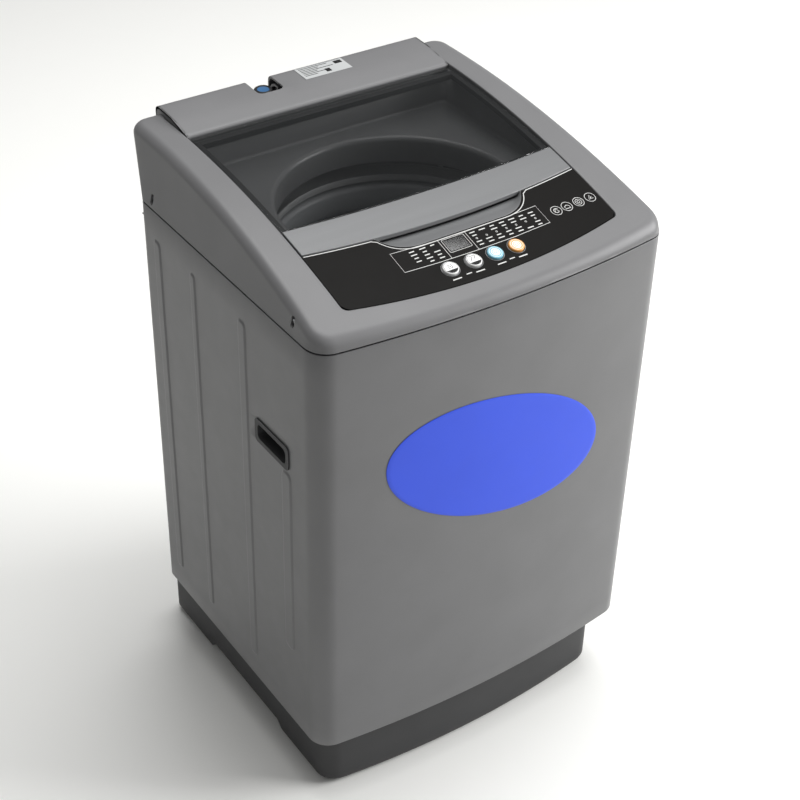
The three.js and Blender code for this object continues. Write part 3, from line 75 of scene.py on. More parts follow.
PANEL_REAR_Y = -110.8
PANEL_FRONT_Y = -205.2
PANEL_CORNER = 8.0
BUTTON_Y = -200.0
BUTTON_HOLE = 11.0
NOTCH_X = -55.0                      # the notch in the deck for the water inlet
NOTCH_Y = 218.0
SLOPE = math.atan((REAR_Y - BUTTON_Y) / CROWN_RADIUS)


def crown(y):
    """Height of the machine's curved top at a depth."""
    return CROWN_Z - np.maximum(0.0, REAR_Y - np.asarray(y, float)) ** 2 / (2 * CROWN_RADIUS)


# ---------- Materials ----------
def linear(rgb):
    """A screen colour from 0 to 255 as the linear colour that a shader takes."""
    return [((c / 255 + 0.055) / 1.055) ** 2.4 if c > 10 else c / 255 / 12.92 for c in rgb] + [1.0]


def material(name, rgb, rough=0.4, metal=0.0, tint=0.04, grain=900.0, bump=0.03, depth=0.00006,
             rough_swing=0.05, blotch=14.0, stretch=(1, 1, 1), coat=0.0, specular=0.5):
    """A finish with slow colour drift, uneven gloss and a fine surface texture."""
    m = bpy.data.materials.new(name)
    m.use_nodes = True
    nt = m.node_tree
    shader = nt.nodes["Principled BSDF"]
    base = linear(rgb)
    shader.inputs["Metallic"].default_value = metal
    shader.inputs["Coat Weight"].default_value = coat
    shader.inputs["Coat Roughness"].default_value = 0.12
    shader.inputs["Specular IOR Level"].default_value = specular
    where = nt.nodes.new("ShaderNodeTexCoord")
    place = nt.nodes.new("ShaderNodeMapping")
    place.inputs["Scale"].default_value = stretch
    nt.links.new(where.outputs["Object"], place.inputs["Vector"])

    def noise(scale, detail):
        n = nt.nodes.new("ShaderNodeTexNoise")
        n.inputs["Scale"].default_value = scale
        n.inputs["Detail"].default_value = detail
        nt.links.new(place.outputs["Vector"], n.inputs["Vector"])
        return n.outputs["Fac"]

    slow = noise(blotch, 4)
    ramp = nt.nodes.new("ShaderNodeValToRGB")
    ramp.color_ramp.elements[0].position = 0.3
    ramp.color_ramp.elements[1].position = 0.7
    ramp.color_ramp.elements[0].color = [c * (1 - tint) for c in base[:3]] + [1]
    ramp.color_ramp.elements[1].color = [min(1, c * (1 + tint)) for c in base[:3]] + [1]
    nt.links.new(slow, ramp.inputs["Fac"])
    nt.links.new(ramp.outputs["Color"], shader.inputs["Base Color"])
    gloss = nt.nodes.new("ShaderNodeMapRange")
    gloss.inputs["To Min"].default_value = max(0.02, rough - rough_swing)
    gloss.inputs["To Max"].default_value = min(1.0, rough + rough_swing)
    nt.links.new(noise(blotch * 3.1, 3), gloss.inputs["Value"])
    nt.links.new(gloss.outputs["Result"], shader.inputs["Roughness"])
    relief = nt.nodes.new("ShaderNodeBump")
    relief.inputs["Strength"].default_value = bump
    relief.inputs["Distance"].default_value = depth
    nt.links.new(noise(grain, 2), relief.inputs["Height"])
    nt.links.new(relief.outputs["Normal"], shader.inputs["Normal"])
    return m


def glass(name, rgb, rough, cover):
    """A smoked pane: each face lets through the share that it does not cover."""
    m = material(name, rgb, rough, tint=0.02, bump=0.0, rough_swing=0.01, specular=1.0)
    m.node_tree.nodes["Principled BSDF"].inputs["Alpha"].default_value = cover
    return m


PAINT = material("cabinet_enamel", (106, 106, 107), 0.36, grain=520, bump=0.05, specular=0.34)
SHELL = material("cover_plastic", (112, 112, 113), 0.4, grain=1500, bump=0.14, blotch=9, specular=0.34)
SILVER = material("lid_silver", (114, 115, 116), 0.34, metal=0.1, grain=700, bump=0.05,
                  stretch=(0.2, 6, 1), specular=0.4)
BASE = material("base_plastic", (62, 62, 63), 0.55, grain=1300, bump=0.3, depth=0.0001, specular=0.25)
BLACK = material("console_black", (22, 21, 20), 0.45, grain=900, bump=0.03, specular=0.06)
DARK = material("dark_plastic", (36, 36, 37), 0.55, grain=1400, bump=0.3, specular=0.3)
PRINT = material("ink_silver", (206, 206, 204), 0.5, tint=0.02)
# Black print ink, also used as the painted shade in the drum's holes
INK_AND_HOLE_SHADE = material("black_ink_and_hole_shade", (24, 24, 24), 0.55, tint=0.02, specular=0.2)
WHITE = material("button_white", (236, 236, 235), 0.3, tint=0.01)
BLUE = material("button_blue", (120, 180, 200), 0.3, tint=0.02)
ORANGE = material("button_orange", (226, 160, 88), 0.3, tint=0.02)
DECAL = material("decal_vinyl", (48, 80, 214), 0.42, tint=0.02, grain=400, bump=0.02, specular=0.3)
LABEL = material("label_paper", (176, 178, 178), 0.6, tint=0.03, grain=2000, bump=0.1)
CAP = material("cap_blue", (46, 96, 142), 0.4, tint=0.05)
SMOKE = glass("lid_smoke", (20, 22, 23), 0.03, 0.3)
CLEAR = glass("display_smoke", (16, 17, 17), 0.1, 0.7)
WELL = material("well_plastic", (112, 113, 114), 0.32, grain=1300, bump=0.12)
LID_DARK = material("lid_frame_dark", (44, 45, 46), 0.4, grain=1200, bump=0.15)
TUB = material("tub_plastic", (176, 178, 178), 0.45, grain=900, bump=0.1)
RING = material("ring_plastic", (160, 163, 165), 0.4, grain=900, bump=0.1)
STEEL = material("basket_steel", (172, 173, 175), 0.26, metal=1.0, grain=600, bump=0.1, stretch=(1, 1, 12))
ZINC = material("zinc_steel", (168, 170, 173), 0.3, metal=1.0, grain=700, bump=0.12, blotch=60, tint=0.12)
CAST = material("cast_aluminium", (150, 151, 153), 0.5, metal=0.9, grain=500, bump=0.4, depth=0.0002)
IRON = material("motor_paint", (58, 60, 62), 0.45, grain=600, bump=0.2)
RUBBER = material("rubber", (30, 30, 31), 0.7, grain=1200, bump=0.4, depth=0.0001)
BOARD = material("circuit_board", (38, 84, 52), 0.4, tint=0.2, blotch=120)
MESH_BLUE = material("lint_plastic", (120, 160, 190), 0.4)
FLOOR = material("studio_floor", (250, 250, 247), 0.9, tint=0.002, bump=0.0, specular=0.1)

FINISH = {
    SHELL: ("top_cover", "rear_deck_cover", "finger_scoop"),
    PAINT: ("cabinet_shell", "rear_panel"),
    BASE: ("base_frame", "grip_cup_left", "grip_cup_right"),
    BLACK: ("console_panel",),
    SILVER: ("lid_frame",),
    SMOKE: ("lid_window",),
    CLEAR: ("display_window",),
    BOARD: ("control_board",),
    WHITE: ("button_start", "button_water_level"),
    BLUE: ("button_function",),
    ORANGE: ("button_power",),
    DECAL: ("front_decal",),
    LABEL: ("rating_label",),
    DARK: ("inlet_valve", "drain_spigot"),
    CAP: ("inlet_cap",),
    TUB: ("outer_tub", "tub_ring", "drain_valve"),
    RING: ("balance_ring", "pulsator", "pulsator_screw"),
    STEEL: ("wash_basket",),
    MESH_BLUE: ("lint_filter",),
    IRON: ("motor",),
    CAST: ("clutch_housing", "driven_pulley", "motor_pulley"),
    RUBBER: ("drive_belt", "drain_hose", "water_seal", "foot_front_left", "foot_front_right",
             "foot_rear_left", "foot_rear_right"),
}
given = {n for names in FINISH.values() for n in names}
FINISH[ZINC] = tuple(sorted(set(NODES) - given))
SLOTS = {row["node"]: row["material_slot"] for row in frame["record"]["subparts"]}


def soften(obj, degrees=32, bevel=0.0, segments=2):
    """Smooth shading up to an angle, and a rounded edge beyond it."""
    obj.data.shade_smooth()
    if bevel:
        m = obj.modifiers.new("edges", "BEVEL")
        m.width = bevel * MM
        m.segments = segments
        m.limit_method = "ANGLE"
        m.angle_limit = math.radians(degrees)
        m.harden_normals = True
        m.use_clamp_overlap = True
    else:
        obj.data.set_sharp_from_angle(angle=math.radians(degrees))


for finish, names in FINISH.items():
    for n in names:
        NODES[n].data.materials.clear()
        NODES[n].data.materials.append(finish)
        soften(NODES[n])


# ---------- Mesh helpers ----------
def build(name, points, faces, finish, body, replaces=None, degrees=32, bevel=0.0, slot=None, segments=2):
    """Makes one piece from points in millimetres, and says which body and CAD node it belongs to; the slot
    argument is not used.
    """
    mesh = bpy.data.meshes.new(name)
    mesh.from_pydata([Vector(p) * MM for p in points], [], faces)
    mesh.validate()
    obj = bpy.data.objects.new(name, mesh)
    bpy.context.scene.collection.objects.link(obj)
    mesh.materials.append(finish)
    bm = bmesh.new()
    bm.from_mesh(mesh)
    bmesh.ops.remove_doubles(bm, verts=bm.verts, dist=1e-6)
    bmesh.ops.recalc_face_normals(bm, faces=bm.faces)
    bm.to_mesh(mesh)
    bm.free()
    soften(obj, degrees, bevel, segments)
    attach(obj, body)
    if replaces:
        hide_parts(replaces)
    return obj


def grid_faces(rows, cols, closed_rows=False, closed_cols=False):
    """The faces between points that lie in rows and columns."""
    faces = []
    for i in range(rows if closed_rows else rows - 1):
        for j in range(cols if closed_cols else cols - 1):
            a, b = i * cols + j, i * cols + (j + 1) % cols
            k = ((i + 1) % rows) * cols
            faces.append((a, b, k + (j + 1) % cols, k + j))
    return faces


def loft(rings, closed=False, cap=False):
    """Rings of equal count joined in order; cap closes the first and last ring with one face."""
    cols = len(rings[0])
    points = [tuple(p) for ring in rings for p in ring]
    faces = grid_faces(len(rings), cols, closed, True)
    if cap:
        faces += [tuple(range(cols - 1, -1, -1)), tuple(range((len(rings) - 1) * cols, len(rings) * cols))]
    return points, faces


def merge(parts):
    """Several sets of points and faces as one."""
    points, faces = [], []
    for p, f in parts:
        base = len(points)
        points += p
        faces += [tuple(k + base for k in face) for face in f]
    return points, faces


def sides(n):
    """The side faces of a prism whose points are one ring of n and then the other."""
    return [(i, (i + 1) % n, n + (i + 1) % n, n + i) for i in range(n)]


def block(outline, low, high):
    """A flat slab of four corners between two heights."""
    points = [(x, y, z) for z in (low, high) for x, y in outline]
    return points, [(3, 2, 1, 0), (4, 5, 6, 7)] + sides(4)


def lathe(profile, centre, steps=64):
    """A profile of (radius, height) turned about a vertical line through the centre."""
    x, y = centre
    turns = [2 * math.pi * k / steps for k in range(steps)]
    rings = [[(x + r * math.cos(t), y + r * math.sin(t), z) for t in turns] for r, z in profile]
    return loft(rings)


def plan(half, front, rear, bow, front_corner, rear_corner, inset=0.0, side_y=None,
         front_steps=22, corner_steps=9, rear_steps=8):
    """The bowed plan outline of the CAD source, anticlockwise from the middle of the front."""
    radius = (half ** 2 + bow ** 2) / (2 * bow)
    centre = front + radius
    cx = half - front_corner
    cy = centre - math.sqrt((radius - front_corner) ** 2 - cx ** 2)
    turn = math.atan2(cy - centre, cx)
    side = []
    for i in range(front_steps):
        t = -math.pi / 2 + (turn + math.pi / 2) * i / front_steps
        side.append(((radius - inset) * math.cos(t), centre + (radius - inset) * math.sin(t)))
    for i in range(corner_steps + 1):
        t = turn * (1 - i / corner_steps)
        side.append((cx + (front_corner - inset) * math.cos(t), cy + (front_corner - inset) * math.sin(t)))
    rear_turn = rear - rear_corner
    for y in side_y if side_y is not None else np.linspace(0, 1, 26)[1:-1]:
        side.append((half - inset, y if side_y is not None else cy + (rear_turn - cy) * y))
    for i in range(corner_steps + 1):
        t = math.pi / 2 * i / corner_steps
        side.append((half - rear_corner + (rear_corner - inset) * math.cos(t),
                     rear_turn + (rear_corner - inset) * math.sin(t)))
    last = side[-1][0]
    for i in range(1, rear_steps):
        side.append((last * (1 - i / rear_steps), rear - inset))
    return side + [(0.0, rear - inset)] + [(-x, y) for x, y in side[:0:-1]]


def cut(obj, cutter):
    """Takes the cutter's volume out of the piece and removes the cutter."""
    m = obj.modifiers.new("cut", "BOOLEAN")
    m.operation = "DIFFERENCE"
    m.solver = "EXACT"
    m.object = cutter
    obj.modifiers.move(len(obj.modifiers) - 1, 0)
    others = [(x, x.show_viewport) for x in obj.modifiers if x.name != "cut"]
    for x, _ in others:
        x.show_viewport = False
    bpy.context.view_layer.update()
    evaluated = obj.evaluated_get(bpy.context.evaluated_depsgraph_get())
    mesh = bpy.data.meshes.new_from_object(evaluated)
    for x, shown in others:
        x.show_viewport = shown
    obj.modifiers.remove(m)
    obj.data = mesh
    bpy.data.objects.remove(cutter)


def thicken(obj, name, thickness):
    """Gives a bare surface its wall, inwards."""
    m = obj.modifiers.new(name, "SOLIDIFY")
    m.thickness = thickness * MM
    m.offset = -1


def prism(outline, low, high):
    """A plain upright solid used only as a cutter."""
    points = [(x, y, low) for x, y in outline] + [(x, y, high) for x, y in outline]
    n = len(outline)
    faces = [tuple(range(n - 1, -1, -1)), tuple(range(n, 2 * n))]
    faces += sides(n)
    mesh = bpy.data.meshes.new("cutter")
    mesh.from_pydata([Vector(p) * MM for p in points], [], faces)
    obj = bpy.data.objects.new("cutter", mesh)
    bpy.context.scene.collection.objects.link(obj)
    return obj


def rounded(x0, x1, y0, y1, r, steps=8):
    """A rectangle with round corners, anticlockwise."""
    out = []
    centres = ((x1 - r, y0 + r, -90), (x1 - r, y1 - r, 0), (x0 + r, y1 - r, 90), (x0 + r, y0 + r, 180))
    for cx, cy, start in centres:
        for k in range(steps + 1):
            t = math.radians(start + 90 * k / steps)
            out.append((cx + r * math.cos(t), cy + r * math.sin(t)))
    return out


# ---------- Cabinet ----------
PRESSINGS = (  # forward of the rear edge, width, bottom, top, raised (+) or sunk (-)
    (47, 19, 159, 740, 1),
    (144, 15, 159, 740, 1),
    (270, 20, 159, 740, -1),
    (372, 24, 255, 568, -1),
)
PRESS_DEPTH = 1.6
FLANK = 3.2
GRIP = (-170.6, -97.4, 575.4, 603.6)  # front, rear, bottom, top of the hole
REAR_HOLE = (216.0, 147.0, 716.0)    # half width, bottom, top
SHEET = 1.2
SHELL_TOP = 781.2
ROLL = 1.6                           # height of the rolled edge at the foot
ROLL_TOP = 780.0                     # where the rolled edge at the top begins
WALL_X = 260.0                       # beyond this a face belongs to a side wall
ROD_X = 195.0
ROD_REACH_Y = 182.0                  # rods in front of and behind the drum's axis
GUSSET_REACH = 22.0
GUSSET_FRONT_Y = -236.0
GUSSET_TAPER = 16.0
GUSSET_Z = 758.0


def pressed(y, z):
    """How far the side wall stands out at a place."""
    out = 0.0
    for forward, width, low, high, sign in PRESSINGS:
        r = width / 2
        dz = max(low + r - z, 0, z - (high - r))
        inside = r - math.hypot(REAR_Y - y - forward, dz)
        share = min(1.0, max(0.0, inside / FLANK))
        out += sign * PRESS_DEPTH * share * share * (3 - 2 * share)
    return out


def cabinet_skin():
    """The painted wrap, with fine rows and columns only where a pressing, hole or rolled edge needs them."""
    ys = {-208.0, -186.0, -60.0, -30.0, 0.0, 100.0, 120.0, 188.0, *GRIP[:2], -120.0, -146.0}
    for forward, width, *_ in PRESSINGS:
        for side in (-1, 1):
            edge = REAR_Y - forward + side * width / 2
            ys.update(edge - side * d for d in (-0.8, 0, 0.8, 1.6, 2.4, 3.2, 4.2, 6))
    zs = {CABINET_Z, CABINET_Z + 0.6, CABINET_Z + ROLL, SHELL_TOP, ROLL_TOP, 400.0, 480.0}
    zs.update((*GRIP[2:], *REAR_HOLE[1:]))
    for _, width, low, high, _ in PRESSINGS:
        for d in np.arange(-0.8, width / 2 + 1, 1.3):
            zs.update((low + d, high - d))
    zs.update(np.linspace(CABINET_Z, SHELL_TOP, 16))
    side_y = sorted(ys)
    rows = sorted(zs)
    points = []
    for z in rows:
        roll = max(0.0, ROLL - (z - CABINET_Z), z - ROLL_TOP)
        ring = plan(HALF, FRONT_Y, REAR_Y, BOW, FRONT_CORNER, REAR_CORNER, roll * roll * 0.35,
                    side_y, 30, 10, 20)
        for x, y in ring:
            if abs(x) > HALF - 0.9 - roll and -215 < y < 189:
                x += math.copysign(pressed(y, z), x)
            points.append((x, y, z))
    cols = len(ring)
    faces = []
    for a, b, c, d in grid_faces(len(rows), cols, False, True):
        cx, cy, cz = np.mean([points[i] for i in (a, b, c, d)], axis=0)
        if abs(cx) > WALL_X and GRIP[0] < cy < GRIP[1] and GRIP[2] < cz < GRIP[3]:
            continue
        if cy > REAR_Y - 1 and abs(cx) < REAR_HOLE[0] and REAR_HOLE[1] < cz < REAR_HOLE[2]:
            continue
        faces.append((a, b, c, d))
    obj = build("cabinet_skin", points, faces, PAINT, "cabinet", "cabinet_shell", 40)
    thicken(obj, "sheet", SHEET)


cabinet_skin()


def rod_gussets():
    """The corner plates under the seam that the suspension rods hang from."""
    number = 0
    for sx in (-1, 1):
        for sy in (-1, 1):
            number += 1
            x0 = sx * (ROD_X - GUSSET_REACH)
            y0 = TUB_Y + sy * (ROD_REACH_Y - GUSSET_REACH)
            x1 = sx * (HALF - 2.5)
            y1 = (REAR_Y - 2.5) if sy > 0 else GUSSET_FRONT_Y
            x2 = x1 if sy > 0 else x1 - sx * GUSSET_TAPER
            outline = [(x0, y0), (x1, y0), (x2, y1), (x0, y1)]
            points, faces = block(outline if sx * sy > 0 else outline[::-1], GUSSET_Z, GUSSET_Z + SHEET)
            build(f"rod_gusset_{number}", points, faces, PAINT, "cabinet", slot=SLOTS["cabinet_shell"],
                  bevel=0.3)


rod_gussets()


# ---------- Base ----------
BASE_INSET = 24.0                    # base behind the cabinet's front and sides
BASE_REAR = 40.0                     # base past the cabinet's rear
BASE_HOLE = 178.0
ARCH_FRONT, ARCH_REAR, ARCH_RISE = -93.0, 120.0, 11.0
BOSS_PLACES = ((-202, -192), (-202, 201), (202, -192), (202, 201))


def base_skin():
    """The base moulding: a skirt with an arch in each side, and an open ring on top."""
    half, front, rear = HALF - BASE_INSET, FRONT_Y + BASE_INSET, REAR_Y + BASE_REAR
    top = CABINET_Z - 0.4
    side_y = [-184, -160, -120, -94.5, -93.2, -92.2, -84, -81, -60, -20, 30, 60, 90, 108,
              118.8, 119.8, 121.2, 150, 190]
    rows = [0.0, 0.02, 0.05, 0.12, 0.35, 0.65, 0.9, 0.96, 0.985, 1.0]
    rings = []
    for share in rows:
        inset = 2.2 * max(0.0, 0.05 - share) / 0.05 + 2.5 * max(0.0, share - 0.96) ** 2 / 0.0016
        ring = []
        for x, y in plan(half, front, rear, BOW, FRONT_CORNER, 24, inset, side_y, 30, 10, 20):
            low = FOOT_DROP
            if abs(x) > half - 4:
                ramp = min(max((y - ARCH_FRONT) / ARCH_RISE, 0.0), max((ARCH_REAR - y) / ARCH_RISE, 0.0), 1.0)
                low += ARCH_RISE * ramp
            ring.append((x, y, low + (top - low) * share))
        rings.append(ring)
    inner = [[(x * s, TUB_Y + (y - TUB_Y) * s, top) for x, y, _ in rings[-1]] for s in (0.98, 0.9)]
    hole = []
    for x, y, _ in rings[-1]:
        t = math.atan2(y - TUB_Y, x)
        hole.append((BASE_HOLE * math.cos(t), TUB_Y + BASE_HOLE * math.sin(t), top))
    points, faces = loft(rings + inner + [hole])
    obj = build("base_skin", points, faces, BASE, "cabinet", "base_frame", 40)
    thicken(obj, "wall", 3.2)
    for k, (x, y) in enumerate(BOSS_PLACES):
        profile = [(6.4, 14), (22, 14), (23, 13), (23, 112.5), (6.4, 112.5), (6.4, 14)]
        points, faces = lathe(profile, (x, y), 40)
        build(f"foot_boss_{k + 1}", points, faces, BASE, "cabinet", slot=SLOTS["base_frame"])


base_skin()


# ---------- Top cover ----------
MOUTH = dict(half=MOUTH_X, front=CONSOLE_FRONT_Y, rear=MOUTH_END_Y, bow=CONSOLE_BOW,
             front_corner=9, rear_corner=4)
SCREW_PLACES = (("rear", 169.0, 795.0), ("front", -183.0, 801.0))
SCREW_HOLE_X = 264.0
DRUM_MOUTH = 168.0
DRUM_FRONT, DRUM_REAR = -91.0, 167.0
WELL_ROLL = 7.0
MOUTH_ROLL = 5.0


def cover_rings(inset, bottom, arc_steps):
    """The outer wall from the seam up over the shoulder, set inwards by a distance."""
    shoulder = SHOULDER - inset
    foot = plan(HALF, FRONT_Y, REAR_Y, BOW, FRONT_CORNER, REAR_CORNER, inset)
    rings = [[(x, y, bottom) for x, y in foot]]
    for i in range(arc_steps + 1):
        angle = math.pi / 2 * i / arc_steps
        edge = inset + shoulder * (1 - math.cos(angle))
        sink = SHOULDER - shoulder * math.sin(angle)
        lower = plan(HALF, FRONT_Y, REAR_Y, BOW, FRONT_CORNER, REAR_CORNER, edge)
        upper = plan(HALF - LEAN, FRONT_Y + LEAN, COVER_REAR_Y - 3.4, BOW,
                     FRONT_CORNER, REAR_CORNER + 8, edge)
        ring = []
        for (x, y), (u, v) in zip(lower, upper):
            share = max(0.0, float(crown(y)) - SHOULDER - SEAM_Z) / (CROWN_Z - SHOULDER - SEAM_Z)
            px, py = x + (u - x) * share, y + (v - y) * share
            ring.append((px, py, max(float(crown(py)) - sink, bottom + 0.2 + i * 0.1)))
        rings.append(ring)
    return rings


def mouth_ring(grow, drop):
    """The edge of the cover's mouth, set outwards and dropped below the crown."""
    return [(x, y, float(crown(y)) - drop) for x, y in plan(inset=-grow, **MOUTH)]


def between(a, b, share, drop):
    """A ring part of the way from one ring to another, dropped below the crown."""
    ring = []
    for p, q in zip(a, b):
        x, y = p[0] + (q[0] - p[0]) * share, p[1] + (q[1] - p[1]) * share
        ring.append((x, y, float(crown(y)) - drop))
    return ring


def cover_skin():
    """The top cover as one closed shell, with its inlet notch, screw holes and screw seats."""
    outer = cover_rings(0, SEAM_Z + 1.6, 9)
    foot = plan(HALF, FRONT_Y, REAR_Y, BOW, FRONT_CORNER, REAR_CORNER, 0.6)
    foot_ring = [(x, y, SEAM_Z + 1) for x, y in foot]
    inner = cover_rings(3, SEAM_Z + 1, 4)
    mouth = mouth_ring(1.6, 0)
    rings = [foot_ring, *outer]
    rings += [between(outer[-1], mouth, s, 0.0) for s in (0.03, 0.2, 0.45, 0.7, 0.9)]
    for k in range(5):
        t = math.pi / 2 * k / 4
        rings.append(mouth_ring(1.6 - 1.6 * math.sin(t), 1.6 - 1.6 * math.cos(t)))
    rings += [mouth_ring(0, 5.2), mouth_ring(0, 9.5), mouth_ring(3, 9.5), mouth_ring(3, 3)]
    rings += [between(inner[-1], mouth_ring(3, 3), s, 3.0) for s in (0.6, 0.05)]
    rings += inner[::-1]
    points, faces = loft(rings, closed=True)
    obj = build("cover_skin", points, faces, SHELL, "cabinet", "top_cover", 40)
    cut(obj, prism(rounded(NOTCH_X - 21, NOTCH_X + 21, NOTCH_Y - 5, 300, 8), 822, 900))
    for side in (-1, 1):
        for end, y, z in SCREW_PLACES:
            hole = prism(rounded(-7.5, 7.5, -3.6, 3.6, 3.5), -9, 9)
            place = Matrix.Translation(Vector((side * SCREW_HOLE_X, y, z)) * MM)
            hole.matrix_world = place @ Matrix.Rotation(math.pi / 2, 4, "Y")
            cut(obj, hole)
            corners = [(y + a, z + b) for a, b in ((-6, -9.5), (6, -9.5), (6, 9.5), (-6, 9.5))]
            seat = [(side * x, u, v) for x in (262.0, 259.0) for u, v in corners]
            build(f"screw_seat_{'left' if side < 0 else 'right'}_{end}", seat,
                  [(0, 1, 2, 3), (4, 5, 6, 7)] + sides(4), SHELL, "cabinet", slot=SLOTS["top_cover"])
    obj.data.shade_smooth()
    obj.data.set_sharp_from_angle(angle=math.radians(40))


def square_ring(x, y0, y1, r, z, count=160):
    """A rounded rectangle with its points at even angles about the drum's axis."""
    corners = rounded(-x, x, y0, y1, r, 10)
    outline = np.array(corners + corners[:1])
    spans = zip(outline[:-1], outline[1:])
    dense = np.concatenate([np.linspace(a, b, 24, endpoint=False) for a, b in spans])
    angle = np.arctan2(dense[:, 1] - TUB_Y, dense[:, 0])
    order = np.argsort(angle)
    want = np.linspace(-math.pi, math.pi, count, endpoint=False)
    px = np.interp(want, angle[order], dense[order, 0], period=2 * math.pi)
    py = np.interp(want, angle[order], dense[order, 1], period=2 * math.pi)
    return [(a, b, z if z is not None else float(crown(b)) - 8.5) for a, b in zip(px, py)]


def drum_ring(r, z, count=160):
    """A ring of the drum mouth, which is flattened at its front and rear."""
    grow = DRUM_MOUTH - r
    ring = []
    for t in np.linspace(-math.pi, math.pi, count, endpoint=False):
        y = TUB_Y + r * math.sin(t)
        ring.append((r * math.cos(t), min(DRUM_REAR - grow, max(DRUM_FRONT + grow, y)), z))
    return ring


def cover_well():
    """The well under the lid: a square wall, a rolled floor and the mouth down to the drum."""
    half, front, rear = MOUTH_X + 0.9, -103, 179
    quarter = np.linspace(0, math.pi / 2, 6)
    rings = [square_ring(half, front, rear, 4, None)]
    for t in quarter:
        roll = WELL_ROLL * (1 - math.cos(t))
        floor_z = WELL_FLOOR_Z + WELL_ROLL * (1 - math.sin(t))
        rings.append(square_ring(half - roll, front + roll, rear - roll, 8, floor_z))
    for t in quarter:
        rings.append(drum_ring(DRUM_MOUTH + MOUTH_ROLL * (1 - math.sin(t)),
                               WELL_FLOOR_Z - MOUTH_ROLL * (1 - math.cos(t))))
    rings += [drum_ring(DRUM_MOUTH, 790), drum_ring(DRUM_MOUTH, 774), drum_ring(DRUM_MOUTH + 2.6, 774)]
    points, faces = loft(rings)
    obj = build("cover_well", points, faces, WELL, "cabinet", slot=SLOTS["top_cover"], degrees=50)
    thicken(obj, "wall", 2.4)


cover_skin()
cover_well()


# ---------- Rear deck ----------
def rear_deck():
    """The rear deck: a bent sheet of constant section, closed by a plate at each end."""
    profile = [(172.0, 861.0), (172.0, 866.6), (173.0, 868.6), (175.5, 869.9), (178.5, 870.5), (196, 874.4),
               (215, 877.6), (245, 878.8), (251, 878.9), (255, 878.0), (258, 875.6), (259.6, 872), (260, 868),
               (260, 857), (257.4, 857), (257.4, 868), (255, 873.5), (250, 876), (215, 875), (180, 867.6),
               (174.6, 865.6), (174.6, 861.0)]
    xs = [-PANEL_X, *np.linspace(-200, 200, 21), PANEL_X]
    sheet = loft([[(x, y, z) for y, z in profile] for x in xs], cap=True)
    plate = profile[1:13] + [(257.6, 862.0), (172.0, 862.0)]
    ends = []
    for x0, x1 in ((-PANEL_X, -PANEL_X + 2.6), (PANEL_X - 2.6, PANEL_X)):
        ends.append(loft([[(x, y, z) for y, z in plate] for x in (x0, x1)], cap=True))
    points, faces = merge([sheet] + ends)
    obj = build("rear_deck", points, faces, SHELL, "cabinet", "rear_deck_cover", 32, bevel=1.2, segments=3)
    cut(obj, prism(rounded(NOTCH_X - 20, NOTCH_X + 20, NOTCH_Y - 4, 300, 8), 830, 900))
    soften(obj, 40)
    obj.modifiers["edges"].width = 0.7 * MM
    obj.modifiers["edges"].angle_limit = math.radians(50)


rear_deck()


# ---------- Lid ----------
FRAME_WIDTH = 9.0
FRAME_REAR_Y = 160.0
HINGE_Y = 157.5
HINGE_DROP = 10.5                    # hinge axis below the crown


def slab(name, x0, x1, front, rear, drop, thick, finish, body, nx=48, ny=14, **more):
    """A slab that follows the crown between two lines across the machine."""
    points = []
    for level in (0.0, thick):
        for i in range(ny + 1):
            for j in range(nx + 1):
                x = x0 + (x1 - x0) * j / nx
                y = front(x) + (rear(x) - front(x)) * i / ny
                points.append((x, y, float(crown(y)) - drop - level))
    n = (ny + 1) * (nx + 1)
    top = grid_faces(ny + 1, nx + 1)
    faces = top + [tuple(k + n for k in f[::-1]) for f in top]
    w = nx + 1
    border = [*range(w), *(k * w + nx for k in range(1, ny + 1)),
              *(ny * w + k for k in range(nx - 1, -1, -1)), *(k * w for k in range(ny - 1, 0, -1))]
    faces += [(a, b, b + n, a + n) for a, b in zip(border, border[1:] + border[:1])]
    return build(name, points, faces, finish, body, **more)


def bowed(y, bow, half=MOUTH_X):
    """A line across the machine that comes forward in the middle."""
    return lambda x: y - bow * (1 - (x / half) ** 2)


def level(y):
    """A straight line across the machine."""
    return lambda x: y


